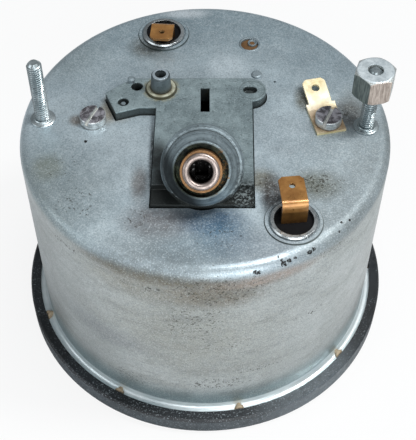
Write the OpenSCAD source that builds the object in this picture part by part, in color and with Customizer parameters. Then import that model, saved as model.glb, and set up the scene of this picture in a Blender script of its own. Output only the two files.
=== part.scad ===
// Panel speedometer with a drawn steel case, a tilted drive barrel and two push-in lamps.
// Millimetres. The origin is the middle of the bezel's front edge, +Z points to the back of the case.

/* [Case] */
// Outer diameter of the can
case_d = 98; // [92:0.5:106]
// Sheet thickness of the can
case_wall = 0.9; // [0.6:0.1:1.4]
// Height of the can's back face above the bezel's front edge
case_h = 69; // [62:0.5:80]
// Fillet radius at the back edge of the can
case_edge_r = 3.2; // [2:0.1:4.5]
// Number of notches in the flange
notch_count = 9; // [3:1:16]
// Width of a flange notch at the bezel's edge
notch_w = 3.6; // [2:0.1:5]
// Width of the flange outside the can wall
flange_w = 3; // [2.6:0.1:4]

/* [Bezel and glass] */
// Thickness of the bezel's outer wall
bezel_wall_t = 1.9; // [1:0.1:3]
// Thickness of the bezel's front lip
bezel_lip_t = 1.2; // [0.8:0.1:2]
// Radial width of the front lip
bezel_lip_w = 8; // [6:0.1:10]
// Thickness of the bezel's rolled back edge
bezel_back_t = 1; // [0.6:0.1:1.6]
// Reach of the rolled back edge over the flange
bezel_grip = 1; // [0.6:0.1:1.4]
// Thickness of the rubber ring in front of the glass
glass_seal_t = 0.7; // [0.4:0.1:1.2]
// Thickness of the glass
glass_t = 1.7; // [1.2:0.1:2.6]
// Thickness of the sealing ring behind the glass
case_seal_t = 0.7; // [0.4:0.1:1.2]

/* [Dial and pointer] */
// Depth of the light ring between glass and dial
light_ring_h = 6; // [5:0.1:9]
// Width of the light ring
light_ring_w = 3.2; // [2:0.1:5]
// Thickness of the dial plate
dial_t = 0.8; // [0.5:0.1:1.5]
// Length of the pointer from its axis
pointer_l = 36; // [28:0.5:40]
// Thickness of the pointer
pointer_t = 0.8; // [0.5:0.1:1]
// Radius of the pointer hub cap
cap_r = 5.5; // [4:0.1:8]
// Distance of the stop pin from the pointer axis
stop_pin_at = 26; // [18:0.5:27]

/* [Casting] */
// Height of the casting's back plate above the can
plate_rise = 2.6; // [1.5:0.1:4]
// Half width of the back plate
plate_half_w = 12.7; // [12:0.1:14]
// Shift of the back plate's lower edge to the left
plate_lean = 0.75; // [0:0.05:1.5]
// Tilt of the drive barrel from the case axis
barrel_tilt = 48.4; // [44:0.1:52]
// Turn of the drive barrel about the case axis
barrel_yaw = -1.8; // [-4:0.1:4]
// Radius of the barrel's collar
barrel_r = 10.3; // [9.8:0.1:11]
// Radius of the barrel's threaded neck
neck_r = 9; // [8.5:0.1:9.5]
// Length of the neck
neck_l = 4; // [3:0.1:8]
// Length of the neck's tapered nose
nose_l = 3; // [2:0.1:4]
// Radius of the recess in the nose
recess_r = 6.45; // [6.2:0.05:7.4]
// Outer radius of the bronze bush
bush_r = 5.05; // [4.8:0.05:5.6]
// Radius of the drive shaft
drive_r = 4.2; // [3.9:0.05:4.5]
// Radius of the hole in the drive shaft's end
drive_hole_r = 2.8; // [2.5:0.05:3.2]
// Side of the square drive socket
drive_square = 3.2; // [2.6:0.1:3.4]

/* [Studs and terminals] */
// Radius of the mounting studs
stud_r = 1.95; // [1.5:0.05:2.5]
// Length of the studs above the can
stud_l = 20.1; // [14:0.1:26]
// Width across flats of the long nut
nut_af = 9.5; // [8:0.5:13]
// Height of the long nut
nut_h = 9; // [6:0.5:12]
// Width of the spade blades
blade_w = 6.3; // [4.8:0.1:6.8]
// Thickness of the spade blades
blade_t = 0.8; // [0.5:0.1:1]
// Radius of the hole in a spade blade
blade_hole_r = 0.8; // [0.5:0.05:1]
// Rise of the near lamp's blade above the can
blade_near_rise = 7; // [4:0.1:9]
// Rise of the far lamp's blade above the can
blade_far_rise = 5; // [3:0.1:7]
// Reach of the near lamp's blade from its leg
blade_near_l = 9; // [7:0.1:11]
// Reach of the far lamp's blade from its leg
blade_far_l = 7.4; // [6:0.1:9]
// Outer radius of a lamp holder's rim
lamp_rim_r = 6.05; // [5.8:0.05:7]
// Radius of a lamp holder's shell
lamp_shell_r = 5.5; // [5:0.05:5.6]
// Depth of a lamp holder's shell inside the can
lamp_shell_l = 9; // [6:0.5:12]
// Radius of the bulb
bulb_r = 4.2; // [3:0.1:4.6]

/* [Trip reset] */
// Radius of the reset post at its tip and in its bush
reset_r = 2.5; // [2.2:0.05:3]
// Radius of the reset post at its foot, just above the bush
reset_foot_r = 2.8; // [2.5:0.05:3.4]
// Radius of the hole in the reset post
reset_hole_r = 1.5; // [1:0.05:1.8]
// Height of the reset post above the can
reset_rise = 8; // [5:0.1:12]
// Radius of the bush at the reset post's foot
reset_bush_r = 4.05; // [3.6:0.05:4.5]

/* [Gearing] */
// Module of the worm gears
gear_module = 0.5; // [0.45:0.01:0.52]
// Teeth on the cross wheel
cross_teeth = 24; // [22:1:26]
// Teeth on the counter wheel
counter_teeth = 26; // [24:1:28]
// Pitch radius of the worms
worm_r = 3; // [2.8:0.1:3.2]
// Teeth on each bevel gear
bevel_teeth = 12; // [10:1:14]
// Radius of a number drum
drum_r = 5; // [4.5:0.1:5.2]
// Width of an odometer drum
drum_w = 4.4; // [4:0.1:4.6]
// Width of a trip drum
trip_drum_w = 3.9; // [3.5:0.1:4.2]

/* [Clearances] */
// Radial running clearance of shafts in their bearings
run_gap = 0.03; // [0.02:0.01:0.06]
// Gap between the casting and the opening in the can
plate_gap = 0.4; // [0.3:0.05:0.8]
// Side clearance between neighbouring drums
drum_gap = 0.3; // [0.25:0.05:0.4]
// Radial clearance of screws in their holes
screw_gap = 0.05; // [0.03:0.01:0.2]

/* [Hidden] */
$fn = 64;
eps = 0.01;
case_r = case_d / 2;
case_in_r = case_r - case_wall;
back_z = case_h;
back_in_z = case_h - case_wall;

// Clamped stack at the front, from the bezel's front edge to its rolled back edge
glass_seal_z = bezel_lip_t;
glass_z = glass_seal_z + glass_seal_t;
case_seal_z = glass_z + glass_t;
flange_z = case_seal_z + case_seal_t;
bezel_back_z = flange_z + case_wall;
bezel_h = bezel_back_z + bezel_back_t;
slip = 0.1;
flange_r = case_r + flange_w;
grip_r = flange_r - bezel_grip;
bezel_r = flange_r + slip + bezel_wall_t;
bezel_in_r = bezel_r - bezel_lip_w;
flange_fillet_r = 0.65 * (flange_w - bezel_grip);
notch_inset = 0.2;
notch_start = -79;
seal_inset = 0.8;

// Dial and what stands in front of it
ring_z = case_seal_z;
dial_z = ring_z + light_ring_h;
dial_back_z = dial_z + dial_t;
dial_r = case_in_r - 0.4;
pointer_z = dial_z - 3.2;
cap_h = 2.6;
spindle_r = 0.8;
zero_angle = -45;
pointer_tail = 9;
stop_pin_r = 0.5;
window_margin = 0.4;
window_half_h = 2;

// Number drums behind the dial
drum_axis_z = dial_back_z + 1 + drum_r;
odometer_y = -19;
odometer_count = 5;
trip_count = 4;
axle_r = 1;
cheek_t = 1.2;
cheek_gap = 0.4;

// Front bridge behind the drums
bridge_z = drum_axis_z + drum_r + 0.6;
bridge_t = 2;
bridge_top = bridge_z + bridge_t;
bridge_half_x = 33;
bridge_y = [-24, 16];
cheek_half_w = 3;
dial_post = [30, 6];
post_r = 3;
small_screw_r = 1.2;
small_head_r = 2.4;
small_head_h = 1;
head_rim = 0.25;
small_screw_l = 6;
small_slot = [0.6, 0.5];

// Casting levels and the tilted barrel, whose axis starts on the case axis
plate_top = back_z + plate_rise;
plate_low = back_z + 0.8;
inner_t = 1.5;
inner_z = back_in_z - inner_t;
apex_z = back_z - 12;
collar_s = 30;
neck_s = collar_s + neck_l;
nose_s = neck_s + nose_l;
bush_end_s = nose_s + 2.5;
shaft_end_s = bush_end_s + 0.7;
collar_chamfer = 0.6;
boss_s = 11.5;
boss_r = 8;
flare_s = [18, 24];
bush_start_s = 16;
shaft_step_s = 18;
recess_s = neck_s - 1;
lead_r = 2;
plate_y = [-28.5, 14.54];
plate_step = 5;
leg_x = 24;
leg_size = [5, 8];
inner_bar = [6, 8, 16];
inner_wing = [5, 30];

// Worm stages
gear_pitch = PI * gear_module;
tooth_add = 0.8 * gear_module;
tooth_ded = 1.1 * gear_module;
cross_r = cross_teeth * gear_module / 2;
counter_r = counter_teeth * gear_module / 2;
wheel_w = 2.4;
worm_turns = 5;
worm_z = apex_z - 5;
post_reach = 2.5;

// Bar below the cross wheel; the magnet and its cups share the room between bar and bridge
bar_t = 4;
bar_gap = 1.6;
bar_top = worm_z - cross_r - tooth_add - bar_gap;
bar_z = bar_top - bar_t;
cup_room = bar_z - bridge_top;
magnet_r = 8;
magnet_h = cup_room * 0.375;
magnet_z = bar_z - cup_room * 0.22 - magnet_h;
magnet_slot = [1.2, 2];
mag_shaft_r = 1.5;
mag_tip_r = 1;
mag_tip_l = 3.2;
bevel_pocket = [4.2, 0.9];
cup_in_r = magnet_r + 1.3;
cup_t = 0.8;
cup_z = magnet_z - cup_room * 0.19;
cup_floor = 1;
field_in_r = cup_in_r + cup_t + 1.2;
field_t = 1.2;
field_hole_r = mag_shaft_r + 1.5;
field_bottom = cup_z + cup_room * 0.03;
spring_z = bridge_z - 3;
cross_x = -(worm_r + cross_r);
counter_x = cross_x - (worm_r + counter_r);
cross_shaft_r = 1;
cross_y = [-27, 5.5];
post_t = 2.5;
post_w = 4;
counter_post_r = 2.5;
counter_post_l = 5.7;

// Bevel gears: cone distances and tooth shares of the pitch
drive_cone = [8, 10];
small_cone = [4.4, 5.8];
bevel_add = 0.20;
bevel_ded = 0.30;
bevel_core = 0.26;
bevel_hub = 1;

// Reset spindle and trip counter
reset_at = [-11.8, 10.5];
reset_lower_r = 1.2;
reset_rim_h = 0.6;
reset_rim_w = 0.9;
reset_hole_l = 7;
trip_start = reset_at[0] + small_cone[1] * cos(45) + bevel_hub + cheek_gap;
odometer_start = counter_x + small_cone[1] * cos(45) + bevel_hub + cheek_gap;
trip_drums_x = trip_start + cheek_t + cheek_gap;
odometer_drums_x = odometer_start + cheek_t + cheek_gap;
trip_end = trip_drums_x + trip_count * (trip_drum_w + drum_gap);
odometer_end = odometer_drums_x + odometer_count * (drum_w + drum_gap);
sleeve_r = 2.2;

// Places on the can's back, as shares of its radius
stud_at = case_r * [[-0.8755, 0.0347], [0.8643, -0.0204]];
screw_at = case_r * [[-0.6041, 0.0224], [0.6612, 0.002]];
lamp_near = case_r * [0.4398, -0.6755];
lamp_far = case_r * [-0.2408, 0.7286];
plug_at = case_r * [0.2571, 0.6408];
stud_collar_r = 3.4;
stud_collar_h = 1;
stud_head_r = 3;
stud_head_t = 1.5;
nut_collar_h = 1.6;
nut_turn = 12;
screw_r = 1.95;
screw_head_r = 3.5;
screw_head_h = 2.5;
screw_l = 6;
screw_slot = [1, 1.2];
screw_turn = 66;
screw_boss_r = 4;
terminal_turn = 12.7;
terminal_base = [7.95, 8.6];
terminal_offset = [-0.1, 0.64];
terminal_hole_r = 1.1;
terminal_shoulder_l = 2;
terminal_tab_l = 9.9;
terminal_lift = 12;
tab_chamfer = 1;
tab_hole_in = 3;
blade_near_turn = 5.5;
blade_far_turn = 175.6;
blade_far_shift = -0.8;
blade_bend = 1.6;
blade_root = 2;
insulator_h = 4;
lamp_hole_gap = 0.1;
lamp_rim_h = 1;
lamp_wall = 0.6;
lamp_ring_r = 7.15;
lamp_ring_h = 0.35;
bulb_l = 12;
plug_r = 2.5;
plug_depth = 0.6;
rivet_at = [14.2, 18.7];
rivet_r = 1.45;
vent_at = [19.1, 16];
vent_r = 0.35;
pin_at = [-21.7, 5.5];
pin_r = 0.6;
pin_depth = 0.5;
pin_hole = [1.5, 1.8];
plate_rivet_at = [-19.9, 13.4];
plate_rivet_r = 1;
plate_rivet_h = 1.4;
clear_hole_at = [-18.3, 11.4];
clear_hole_r = 1.6;
ear_at = [12.1, 10.1];
ear_r = 4.3;
ear_slot = [3.8, 2.7];
ear_slot_depth = 1.6;
slot_y = [1.85, 10.76];
slot_w = 2.4;
arm = [[-12, 3.4], [-17.35, 3.4], [-23.5, 1.4], [-26.65, 8.9], [-21.4, 13.1], [-18.95, 14.54], [-12, 14.54]];
arm_out = [[0, -1], [0.2, -1], [-0.6, -1.2], [-1.2, 0.1], [-0.6, 0.8], [-0.3, 1], [0, 1]];

// Ring between two radii
module ring(outer, inner, h) {
    difference() {
        cylinder(r = outer, h = h);
        translate([0, 0, -eps]) cylinder(r = inner, h = h + 2 * eps);
    }
}

// Frame of the tilted barrel: +Z runs out along the barrel from the case axis
module barrel_frame() {
    translate([0, 0, apex_z]) rotate([barrel_tilt, 0, barrel_yaw]) children();
}

// Child turned so that its +Z runs along +X, at the start of a drum axle
module along_x(y) {
    translate([0, y, drum_axis_z]) rotate([0, 90, 0]) children();
}

// Outline of the casting's back plate, widened by m on every side
module plate_outline(m) {
    half = plate_half_w + m;
    polygon([
        [-half, plate_y[1] + m], [-half - plate_lean, plate_y[0] - m],
        [half - plate_lean, plate_y[0] - m], [half, plate_y[1] + m]
    ]);
    polygon([for (i = [0 : len(arm) - 1]) arm[i] + m * arm_out[i]]);
    translate(ear_at) circle(r = ear_r + m);
}

// One bevel tooth whose edges all run to the cone's apex
module bevel_tooth(gamma, cone, phi, pitch) {
    along = [sin(gamma) * cos(phi), sin(gamma) * sin(phi), cos(gamma)];
    outward = [cos(gamma) * cos(phi), cos(gamma) * sin(phi), -sin(gamma)];
    side = [-sin(phi), cos(phi), 0];
    section = [[-0.27, -bevel_ded], [0.27, -bevel_ded], [0.12, bevel_add], [-0.12, bevel_add]] * pitch;
    points = [for (d = cone) for (p = section) d * (along + p[0] * side + p[1] * outward)];
    faces = [[3, 2, 1, 0], [4, 5, 6, 7], [1, 5, 4, 0], [2, 6, 5, 1], [3, 7, 6, 2], [0, 4, 7, 3]];
    polyhedron(points, faces);
}

// Bevel gear with its apex at the origin and its hub away from it
module bevel_gear(gamma, cone, phase, bore) {
    pitch = 2 * PI * sin(gamma) / bevel_teeth;
    core = tan(gamma - atan(bevel_core * pitch));
    z0 = cone[0] * cos(gamma);
    z1 = cone[1] * cos(gamma);
    difference() {
        union() {
            translate([0, 0, z0]) cylinder(r1 = z0 * core, r2 = z1 * core, h = z1 - z0);
            translate([0, 0, z1 - eps]) cylinder(r = z1 * core, h = bevel_hub + eps);
            for (i = [0 : bevel_teeth - 1])
                bevel_tooth(gamma, cone, phase + i * 360 / bevel_teeth, pitch);
        }
        translate([0, 0, z0 - 1]) cylinder(r = bore, h = z1 - z0 + bevel_hub + 2);
    }
}

// Single-start right-handed worm along Z, centred on the origin
module worm(bore) {
    steps = 24;
    rings = worm_turns * steps;
    core = worm_r - tooth_ded + 0.05;
    l = worm_turns * gear_pitch;
    half = [[core - 0.3, -0.28], [worm_r + tooth_add, -0.15], [worm_r + tooth_add, 0.15], [core - 0.3, 0.28]];
    points = [for (i = [0 : rings]) for (p = half)
        let (a = 360 * (i / steps - worm_turns / 2))
        [p[0] * cos(a), p[0] * sin(a), gear_pitch * (a / 360 + p[1] / gear_pitch)]];
    sides = [for (i = [0 : rings - 1]) for (k = [0 : 3])
        let (a = 4 * i + k, b = 4 * i + (k + 1) % 4)
        each [[a, b, b + 4], [a, b + 4, a + 4]]];
    e = 4 * rings;
    difference() {
        union() {
            translate([0, 0, -l / 2 - 0.6]) cylinder(r = core, h = l + 1.2);
            polyhedron(points, concat(sides, [[3, 2, 1, 0], [e, e + 1, e + 2, e + 3]]));
        }
        translate([0, 0, -l / 2 - 1]) cylinder(r = bore, h = l + 2);
    }
}

// Worm wheel lying in XY with one tooth on +X
module worm_wheel(teeth, pitch_r, bore) {
    root = pitch_r - tooth_ded;
    tip = pitch_r + tooth_add;
    translate([0, 0, -wheel_w / 2]) difference() {
        linear_extrude(wheel_w) {
            circle(r = root);
            for (i = [0 : teeth - 1]) rotate(i * 360 / teeth)
                polygon([[root - 0.4, -0.3], [tip, -0.15], [tip, 0.15], [root - 0.4, 0.3]]);
        }
        translate([0, 0, -eps]) cylinder(r = bore, h = wheel_w + 2 * eps);
        for (i = [0 : 3]) rotate(i * 90) translate([pitch_r * 0.55, 0, -eps])
            cylinder(r = pitch_r * 0.18, h = wheel_w + 2 * eps);
    }
}

// Slotted cheese-head screw pointing down, its head resting on z = 0
module slotted_screw(r, l, head_r, head_h, slot, turn) {
    difference() {
        union() {
            translate([0, 0, -l]) cylinder(r = r, h = l + eps);
            cylinder(r = head_r, h = head_h - head_rim);
            translate([0, 0, head_h - head_rim - eps])
                cylinder(r1 = head_r, r2 = head_r - head_rim, h = head_rim + eps);
        }
        rotate(turn) translate([-head_r - 1, -slot[0] / 2, head_h - slot[1]])
            cube([2 * head_r + 2, slot[0], slot[1] + 1]);
    }
}

// Straight hole through the can's back
module back_hole(at, r) {
    translate([at[0], at[1], back_in_z - 1]) cylinder(r = r, h = case_wall + 2);
}

// Drawn can: closed back with a rounded edge, flange at the front
module rear_case() {
    steps = 12;
    arc = [for (i = [0 : steps]) [cos(i * 90 / steps), sin(i * 90 / steps)]];
    in_r = max(case_edge_r - case_wall, 0.3);
    fillet_at = [case_r, bezel_back_z] + flange_fillet_r * [1, 1];
    fillet = [for (i = [steps : -1 : 0]) fillet_at - flange_fillet_r * arc[i]];
    outer = [for (a = arc) [case_r - case_edge_r, back_z - case_edge_r] + case_edge_r * a];
    inner = [for (i = [steps : -1 : 0]) [case_in_r - in_r, back_in_z - in_r] + in_r * arc[i]];
    shell = concat([[flange_r, flange_z], [flange_r, bezel_back_z]], fillet, outer,
        [[0, back_z], [0, back_in_z]], inner, [[case_in_r, flange_z]]);
    lamp_hole_r = lamp_shell_r + lamp_hole_gap;
    notch_slope = notch_w / 2 / (grip_r - case_r - notch_inset);
    notch_l = flange_w + 1;
    color([0.66, 0.69, 0.70]) difference() {
        union() {
            rotate_extrude($fn = 128) polygon(shell);
            for (p = [lamp_near, lamp_far]) translate([p[0], p[1], back_z - eps])
                ring(lamp_ring_r, lamp_rim_r + 0.3, lamp_ring_h + eps);
        }
        translate([0, 0, back_in_z - 1]) linear_extrude(case_wall + 2) plate_outline(plate_gap);
        barrel_frame() translate([0, 0, boss_s])
            cylinder(r = barrel_r + plate_gap, h = collar_s - boss_s + plate_gap);
        for (p = [lamp_near, lamp_far]) back_hole(p, lamp_hole_r);
        for (p = stud_at) back_hole(p, stud_r + screw_gap);
        for (p = screw_at) back_hole(p, screw_r + screw_gap);
        back_hole(plug_at, plug_r);
        back_hole(rivet_at, rivet_r * 0.6);
        back_hole(vent_at, vent_r);
        for (i = [0 : notch_count - 1]) rotate(notch_start + i * 360 / notch_count)
            translate([case_r + notch_inset, 0, flange_z - 1]) linear_extrude(case_wall + flange_fillet_r + 2)
                polygon([[0, 0], [notch_l, -notch_l * notch_slope], [notch_l, notch_l * notch_slope]]);
    }
}

// Bezel: front lip, outer wall and rolled back edge in one turned profile
module bezel_ring() {
    wall_in = flange_r + slip;
    bevel = 0.5;
    profile = [
        [bezel_in_r, 0], [bezel_r - bevel, 0], [bezel_r, bevel], [bezel_r, bezel_h - bevel],
        [bezel_r - bevel, bezel_h], [grip_r, bezel_h], [grip_r, bezel_back_z], [wall_in, bezel_back_z],
        [wall_in, bezel_lip_t], [bezel_in_r, bezel_lip_t]
    ];
    color([0.09, 0.10, 0.11]) rotate_extrude($fn = 128) polygon(profile);
}

module case_seal() {
    color([0.62, 0.52, 0.36]) translate([0, 0, case_seal_z]) ring(flange_r, case_in_r - slip, case_seal_t);
}

module glass_seal() {
    color([0.12, 0.12, 0.12]) translate([0, 0, glass_seal_z])
        ring(flange_r, bezel_in_r + seal_inset, glass_seal_t);
}

module glass() {
    color([0.8, 0.9, 0.92, 0.35]) translate([0, 0, glass_z]) cylinder(r = flange_r, h = glass_t);
}

// Light ring: wide at the glass, narrower at the dial
module light_ring() {
    out = case_in_r - 2 * slip;
    profile = [
        [out, ring_z], [out, dial_z], [out - light_ring_w - 1.5, dial_z],
        [out - light_ring_w - 1.5, dial_z - 0.8], [out - light_ring_w, ring_z]
    ];
    color([0.85, 0.85, 0.82]) rotate_extrude($fn = 128) polygon(profile);
}

// Dial plate with windows for the two counters
module dial() {
    color([0.07, 0.07, 0.08]) difference() {
        translate([0, 0, dial_z]) cylinder(r = dial_r, h = dial_t);
        translate([0, 0, dial_z - 1]) {
            cylinder(r = spindle_r + 1, h = dial_t + 2);
            for (s = [-1, 1]) translate([s * dial_post[0], s * dial_post[1], 0])
                cylinder(r = small_screw_r + screw_gap, h = dial_t + 2);
            drum_window(odometer_drums_x, odometer_end, odometer_y);
            drum_window(trip_drums_x, trip_end, reset_at[1]);
        }
    }
}

// Cut for a row of drums that runs from x0 to x1
module drum_window(x0, x1, y) {
    translate([x0 - window_margin, y - window_half_h, 0])
        cube([x1 - x0 + 2 * window_margin, 2 * window_half_h, dial_t + 2]);
}

module dial_screws() {
    color([0.7, 0.7, 0.68]) for (s = [-1, 1])
        translate([s * dial_post[0], s * dial_post[1], dial_z]) mirror([0, 0, 1])
            slotted_screw(small_screw_r, small_screw_l, small_head_r, small_head_h, small_slot, 30);
}

// Zero stop beside the pointer's rest place
module stop_pin() {
    turn = zero_angle - asin((stop_pin_r + 1.2) / stop_pin_at);
    color([0.75, 0.75, 0.72]) rotate(turn) translate([stop_pin_at, 0, pointer_z - 0.4])
        cylinder(r = stop_pin_r, h = dial_z - pointer_z + 0.4);
}

// Tapered pointer in its rest place, with a short counterweight tail
module pointer() {
    color([0.85, 0.25, 0.08]) rotate(zero_angle) translate([0, 0, pointer_z]) difference() {
        linear_extrude(pointer_t) {
            polygon([[0, -1.2], [pointer_l - 3, -0.6], [pointer_l, 0], [pointer_l - 3, 0.6], [0, 1.2],
                [-pointer_tail, 1.8], [-pointer_tail, -1.8]]);
            circle(r = cap_r - 1.2);
        }
        translate([0, 0, -1]) cylinder(r = spindle_r, h = pointer_t + 2);
    }
}

module pointer_cap() {
    z = pointer_z + pointer_t - cap_h;
    color([0.08, 0.08, 0.09]) difference() {
        union() {
            translate([0, 0, z]) cylinder(r1 = cap_r - 0.8, r2 = cap_r, h = 0.8);
            translate([0, 0, z + 0.8 - eps]) cylinder(r = cap_r, h = cap_h - pointer_t - 0.8 + eps);
        }
        translate([0, 0, z + 1]) cylinder(r = spindle_r, h = cap_h);
    }
}

module pointer_spindle() {
    z = pointer_z + pointer_t - cap_h + 1;
    color([0.75, 0.75, 0.73]) {
        translate([0, 0, z]) cylinder(r = spindle_r, h = magnet_z - 0.3 - z);
        translate([0, 0, spring_z - 0.4]) cylinder(r = spindle_r + 0.6, h = 1.6);
    }
}

// Flat spiral of half turns, each with a wider radius than the one before
module hairspring() {
    strip = [0.25, 0.8];
    step = 0.6;
    first = spindle_r + 1.1;
    color([0.72, 0.55, 0.30]) translate([0, 0, spring_z]) {
        for (i = [0 : 4]) translate([i % 2 == 0 ? 0 : step / 2, 0, 0]) rotate(i % 2 == 0 ? 0 : 180)
            rotate_extrude(angle = 180) translate([first + i * step / 2, 0]) square(strip);
        translate([-first - 2 * step - 1, -0.4, 0]) cube([1, 0.8, bridge_z - spring_z]);
    }
}

// Light metal cup that the magnet drags round
module speed_cup() {
    color([0.80, 0.81, 0.82]) difference() {
        translate([0, 0, cup_z]) cylinder(r = cup_in_r + cup_t, h = magnet_z + magnet_h - cup_z);
        translate([0, 0, cup_z + cup_floor]) cylinder(r = cup_in_r, h = magnet_z + magnet_h);
        translate([0, 0, cup_z - 1]) cylinder(r = spindle_r, h = cup_floor + 2);
    }
}

module field_cup() {
    color([0.45, 0.46, 0.47]) translate([0, 0, field_bottom]) difference() {
        cylinder(r = field_in_r + field_t, h = bar_z - field_bottom);
        translate([0, 0, -1]) cylinder(r = field_in_r, h = bar_z - field_bottom - field_t + 1);
        cylinder(r = field_hole_r, h = bar_z);
    }
}

module magnet() {
    color([0.30, 0.31, 0.33]) translate([0, 0, magnet_z]) difference() {
        cylinder(r = magnet_r, h = magnet_h);
        translate([0, 0, -1]) cylinder(r = mag_shaft_r, h = magnet_h + 2);
        for (s = [0, 180]) rotate(s) translate([magnet_r - magnet_slot[0], -magnet_slot[1] / 2, -1])
            cube([magnet_r, magnet_slot[1], magnet_h + 2]);
    }
}

module magnet_shaft() {
    color([0.72, 0.73, 0.74]) {
        translate([0, 0, magnet_z]) cylinder(r = mag_shaft_r, h = inner_z - 0.3 - magnet_z);
        translate([0, 0, inner_z - 0.4]) cylinder(r = mag_tip_r, h = mag_tip_l + 0.4);
    }
}

module magnet_bevel() {
    color([0.78, 0.62, 0.30]) translate([0, 0, apex_z])
        bevel_gear(barrel_tilt / 2, drive_cone, barrel_yaw - 90, mag_shaft_r);
}

module drive_worm() {
    color([0.76, 0.60, 0.28]) translate([0, 0, worm_z]) worm(mag_shaft_r);
}

// Die casting: back plate, tilted barrel, inner plate, legs and bearing posts
module movement_frame() {
    color([0.52, 0.54, 0.52]) difference() {
        union() {
            frame_plates();
            barrel_body();
            frame_supports();
        }
        barrel_bore();
        frame_bearings();
        frame_holes();
    }
}

module frame_plates() {
    bar_x = [screw_at[0][0] - inner_bar[0], screw_at[1][0] + inner_bar[0]];
    wing_x = [counter_x - inner_wing[0], plate_half_w];
    translate([0, 0, inner_z]) linear_extrude(plate_low - inner_z) plate_outline(0);
    translate([0, 0, plate_low - eps]) linear_extrude(plate_top - plate_low + eps) intersection() {
        plate_outline(0);
        translate([-case_r, plate_y[0] + plate_step]) square(case_d);
    }
    translate([bar_x[0], -inner_bar[1], inner_z])
        cube([bar_x[1] - bar_x[0], inner_bar[1] + inner_bar[2], inner_t]);
    translate([wing_x[0], plate_y[0], inner_z]) cube([wing_x[1] - wing_x[0], inner_wing[1], inner_t]);
}

module frame_supports() {
    bar_l = 2 * leg_x + leg_size[0];
    screw_boss_h = 4;
    for (p = screw_at) translate([p[0], p[1], inner_z - screw_boss_h])
        cylinder(r = screw_boss_r, h = screw_boss_h + eps);
    for (s = [-1, 1]) translate([s * leg_x - leg_size[0] / 2, -leg_size[1] / 2, bridge_top])
        cube([leg_size[0], leg_size[1], inner_z - bridge_top + eps]);
    translate([-bar_l / 2, -leg_size[1] / 2, bar_z]) cube([bar_l, leg_size[1], bar_t]);
    for (y = [cross_y[0], cross_y[1] - post_t]) translate([cross_x - post_w / 2, y, worm_z - post_reach])
        cube([post_w, post_t, inner_z - worm_z + post_reach + eps]);
    translate([counter_x, odometer_y, worm_z + post_reach])
        cylinder(r = counter_post_r, h = inner_z - worm_z - post_reach + eps);
}

// Bores in which the shafts turn
module frame_bearings() {
    translate([0, 0, bar_z - 1]) cylinder(r = mag_shaft_r + run_gap, h = bar_t + 2);
    translate([0, 0, inner_z - 1]) cylinder(r = mag_tip_r + run_gap, h = mag_tip_l + 1.4);
    translate([0, 0, inner_z - 1]) cylinder(r = bevel_pocket[0], h = bevel_pocket[1] + 1);
    translate([cross_x, cross_y[0] - 1, worm_z]) rotate([-90, 0, 0])
        cylinder(r = cross_shaft_r + run_gap, h = cross_y[1] - cross_y[0] + 2);
    translate([counter_x, odometer_y, worm_z])
        cylinder(r = cross_shaft_r + run_gap, h = counter_post_l + 0.3);
    translate([reset_at[0], reset_at[1], inner_z - 1])
        cylinder(r = reset_bush_r - reset_rim_w, h = plate_top - inner_z + 2);
}

// Screw holes, slots and pin holes
module frame_holes() {
    deep = plate_top - inner_z + 2;
    for (p = screw_at) translate([p[0], p[1], inner_z - screw_l])
        cylinder(r = screw_r + screw_gap, h = 2 * screw_l);
    for (s = [-1, 1]) translate([s * leg_x, 0, bridge_top - 1])
        cylinder(r = small_screw_r + screw_gap, h = small_screw_l);
    translate([-slot_w / 2, slot_y[0], inner_z - 1]) cube([slot_w, slot_y[1] - slot_y[0], deep]);
    translate([pin_at[0], pin_at[1], inner_z - 1]) cylinder(r = pin_r + screw_gap, h = deep);
    translate([pin_at[0], pin_at[1], plate_top - pin_hole[1]]) cylinder(r = pin_hole[0], h = pin_hole[1] + 1);
    translate([clear_hole_at[0], clear_hole_at[1], inner_z - 1]) cylinder(r = clear_hole_r, h = deep);
    translate([ear_at[0], ear_at[1], plate_top - ear_slot_depth]) linear_extrude(ear_slot_depth + 1) {
        flat = ear_slot[0] - ear_slot[1];
        square([flat, ear_slot[1]], center = true);
        for (s = [-1, 1]) translate([s * flat / 2, 0]) circle(d = ear_slot[1]);
    }
}

// Outside of the barrel along its own axis
module barrel_body() {
    barrel_frame() rotate_extrude($fn = 96) polygon([
        [0, boss_s], [boss_r, boss_s], [boss_r, flare_s[0]], [barrel_r, flare_s[1]],
        [barrel_r, collar_s - collar_chamfer], [barrel_r - collar_chamfer, collar_s], [neck_r, collar_s],
        [neck_r, neck_s], [recess_r + 0.5, nose_s], [0, nose_s]
    ]);
}

module barrel_bore() {
    barrel_frame() {
        translate([0, 0, boss_s - 1]) cylinder(r = lead_r + run_gap, h = bush_start_s - boss_s + 2);
        translate([0, 0, bush_start_s]) cylinder(r = bush_r, h = nose_s - bush_start_s + 1);
        translate([0, 0, recess_s]) cylinder(r = recess_r, h = nose_s - recess_s + 1);
    }
}

// Dowel in the countersunk hole and the small peg beside the arm's edge
module frame_pins() {
    color([0.76, 0.77, 0.76]) {
        translate([pin_at[0], pin_at[1], inner_z]) cylinder(r = pin_r, h = plate_top - pin_depth - inner_z);
        translate([plate_rivet_at[0], plate_rivet_at[1], plate_top]) {
            cylinder(r = plate_rivet_r, h = plate_rivet_h * 0.7);
            translate([0, 0, plate_rivet_h * 0.7 - eps])
                cylinder(r1 = plate_rivet_r, r2 = plate_rivet_r * 0.6, h = plate_rivet_h * 0.3);
        }
    }
}

module drive_bush() {
    color([0.62, 0.40, 0.24]) barrel_frame() translate([0, 0, bush_start_s])
        ring(bush_r, drive_r + run_gap, bush_end_s - bush_start_s);
}

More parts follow.
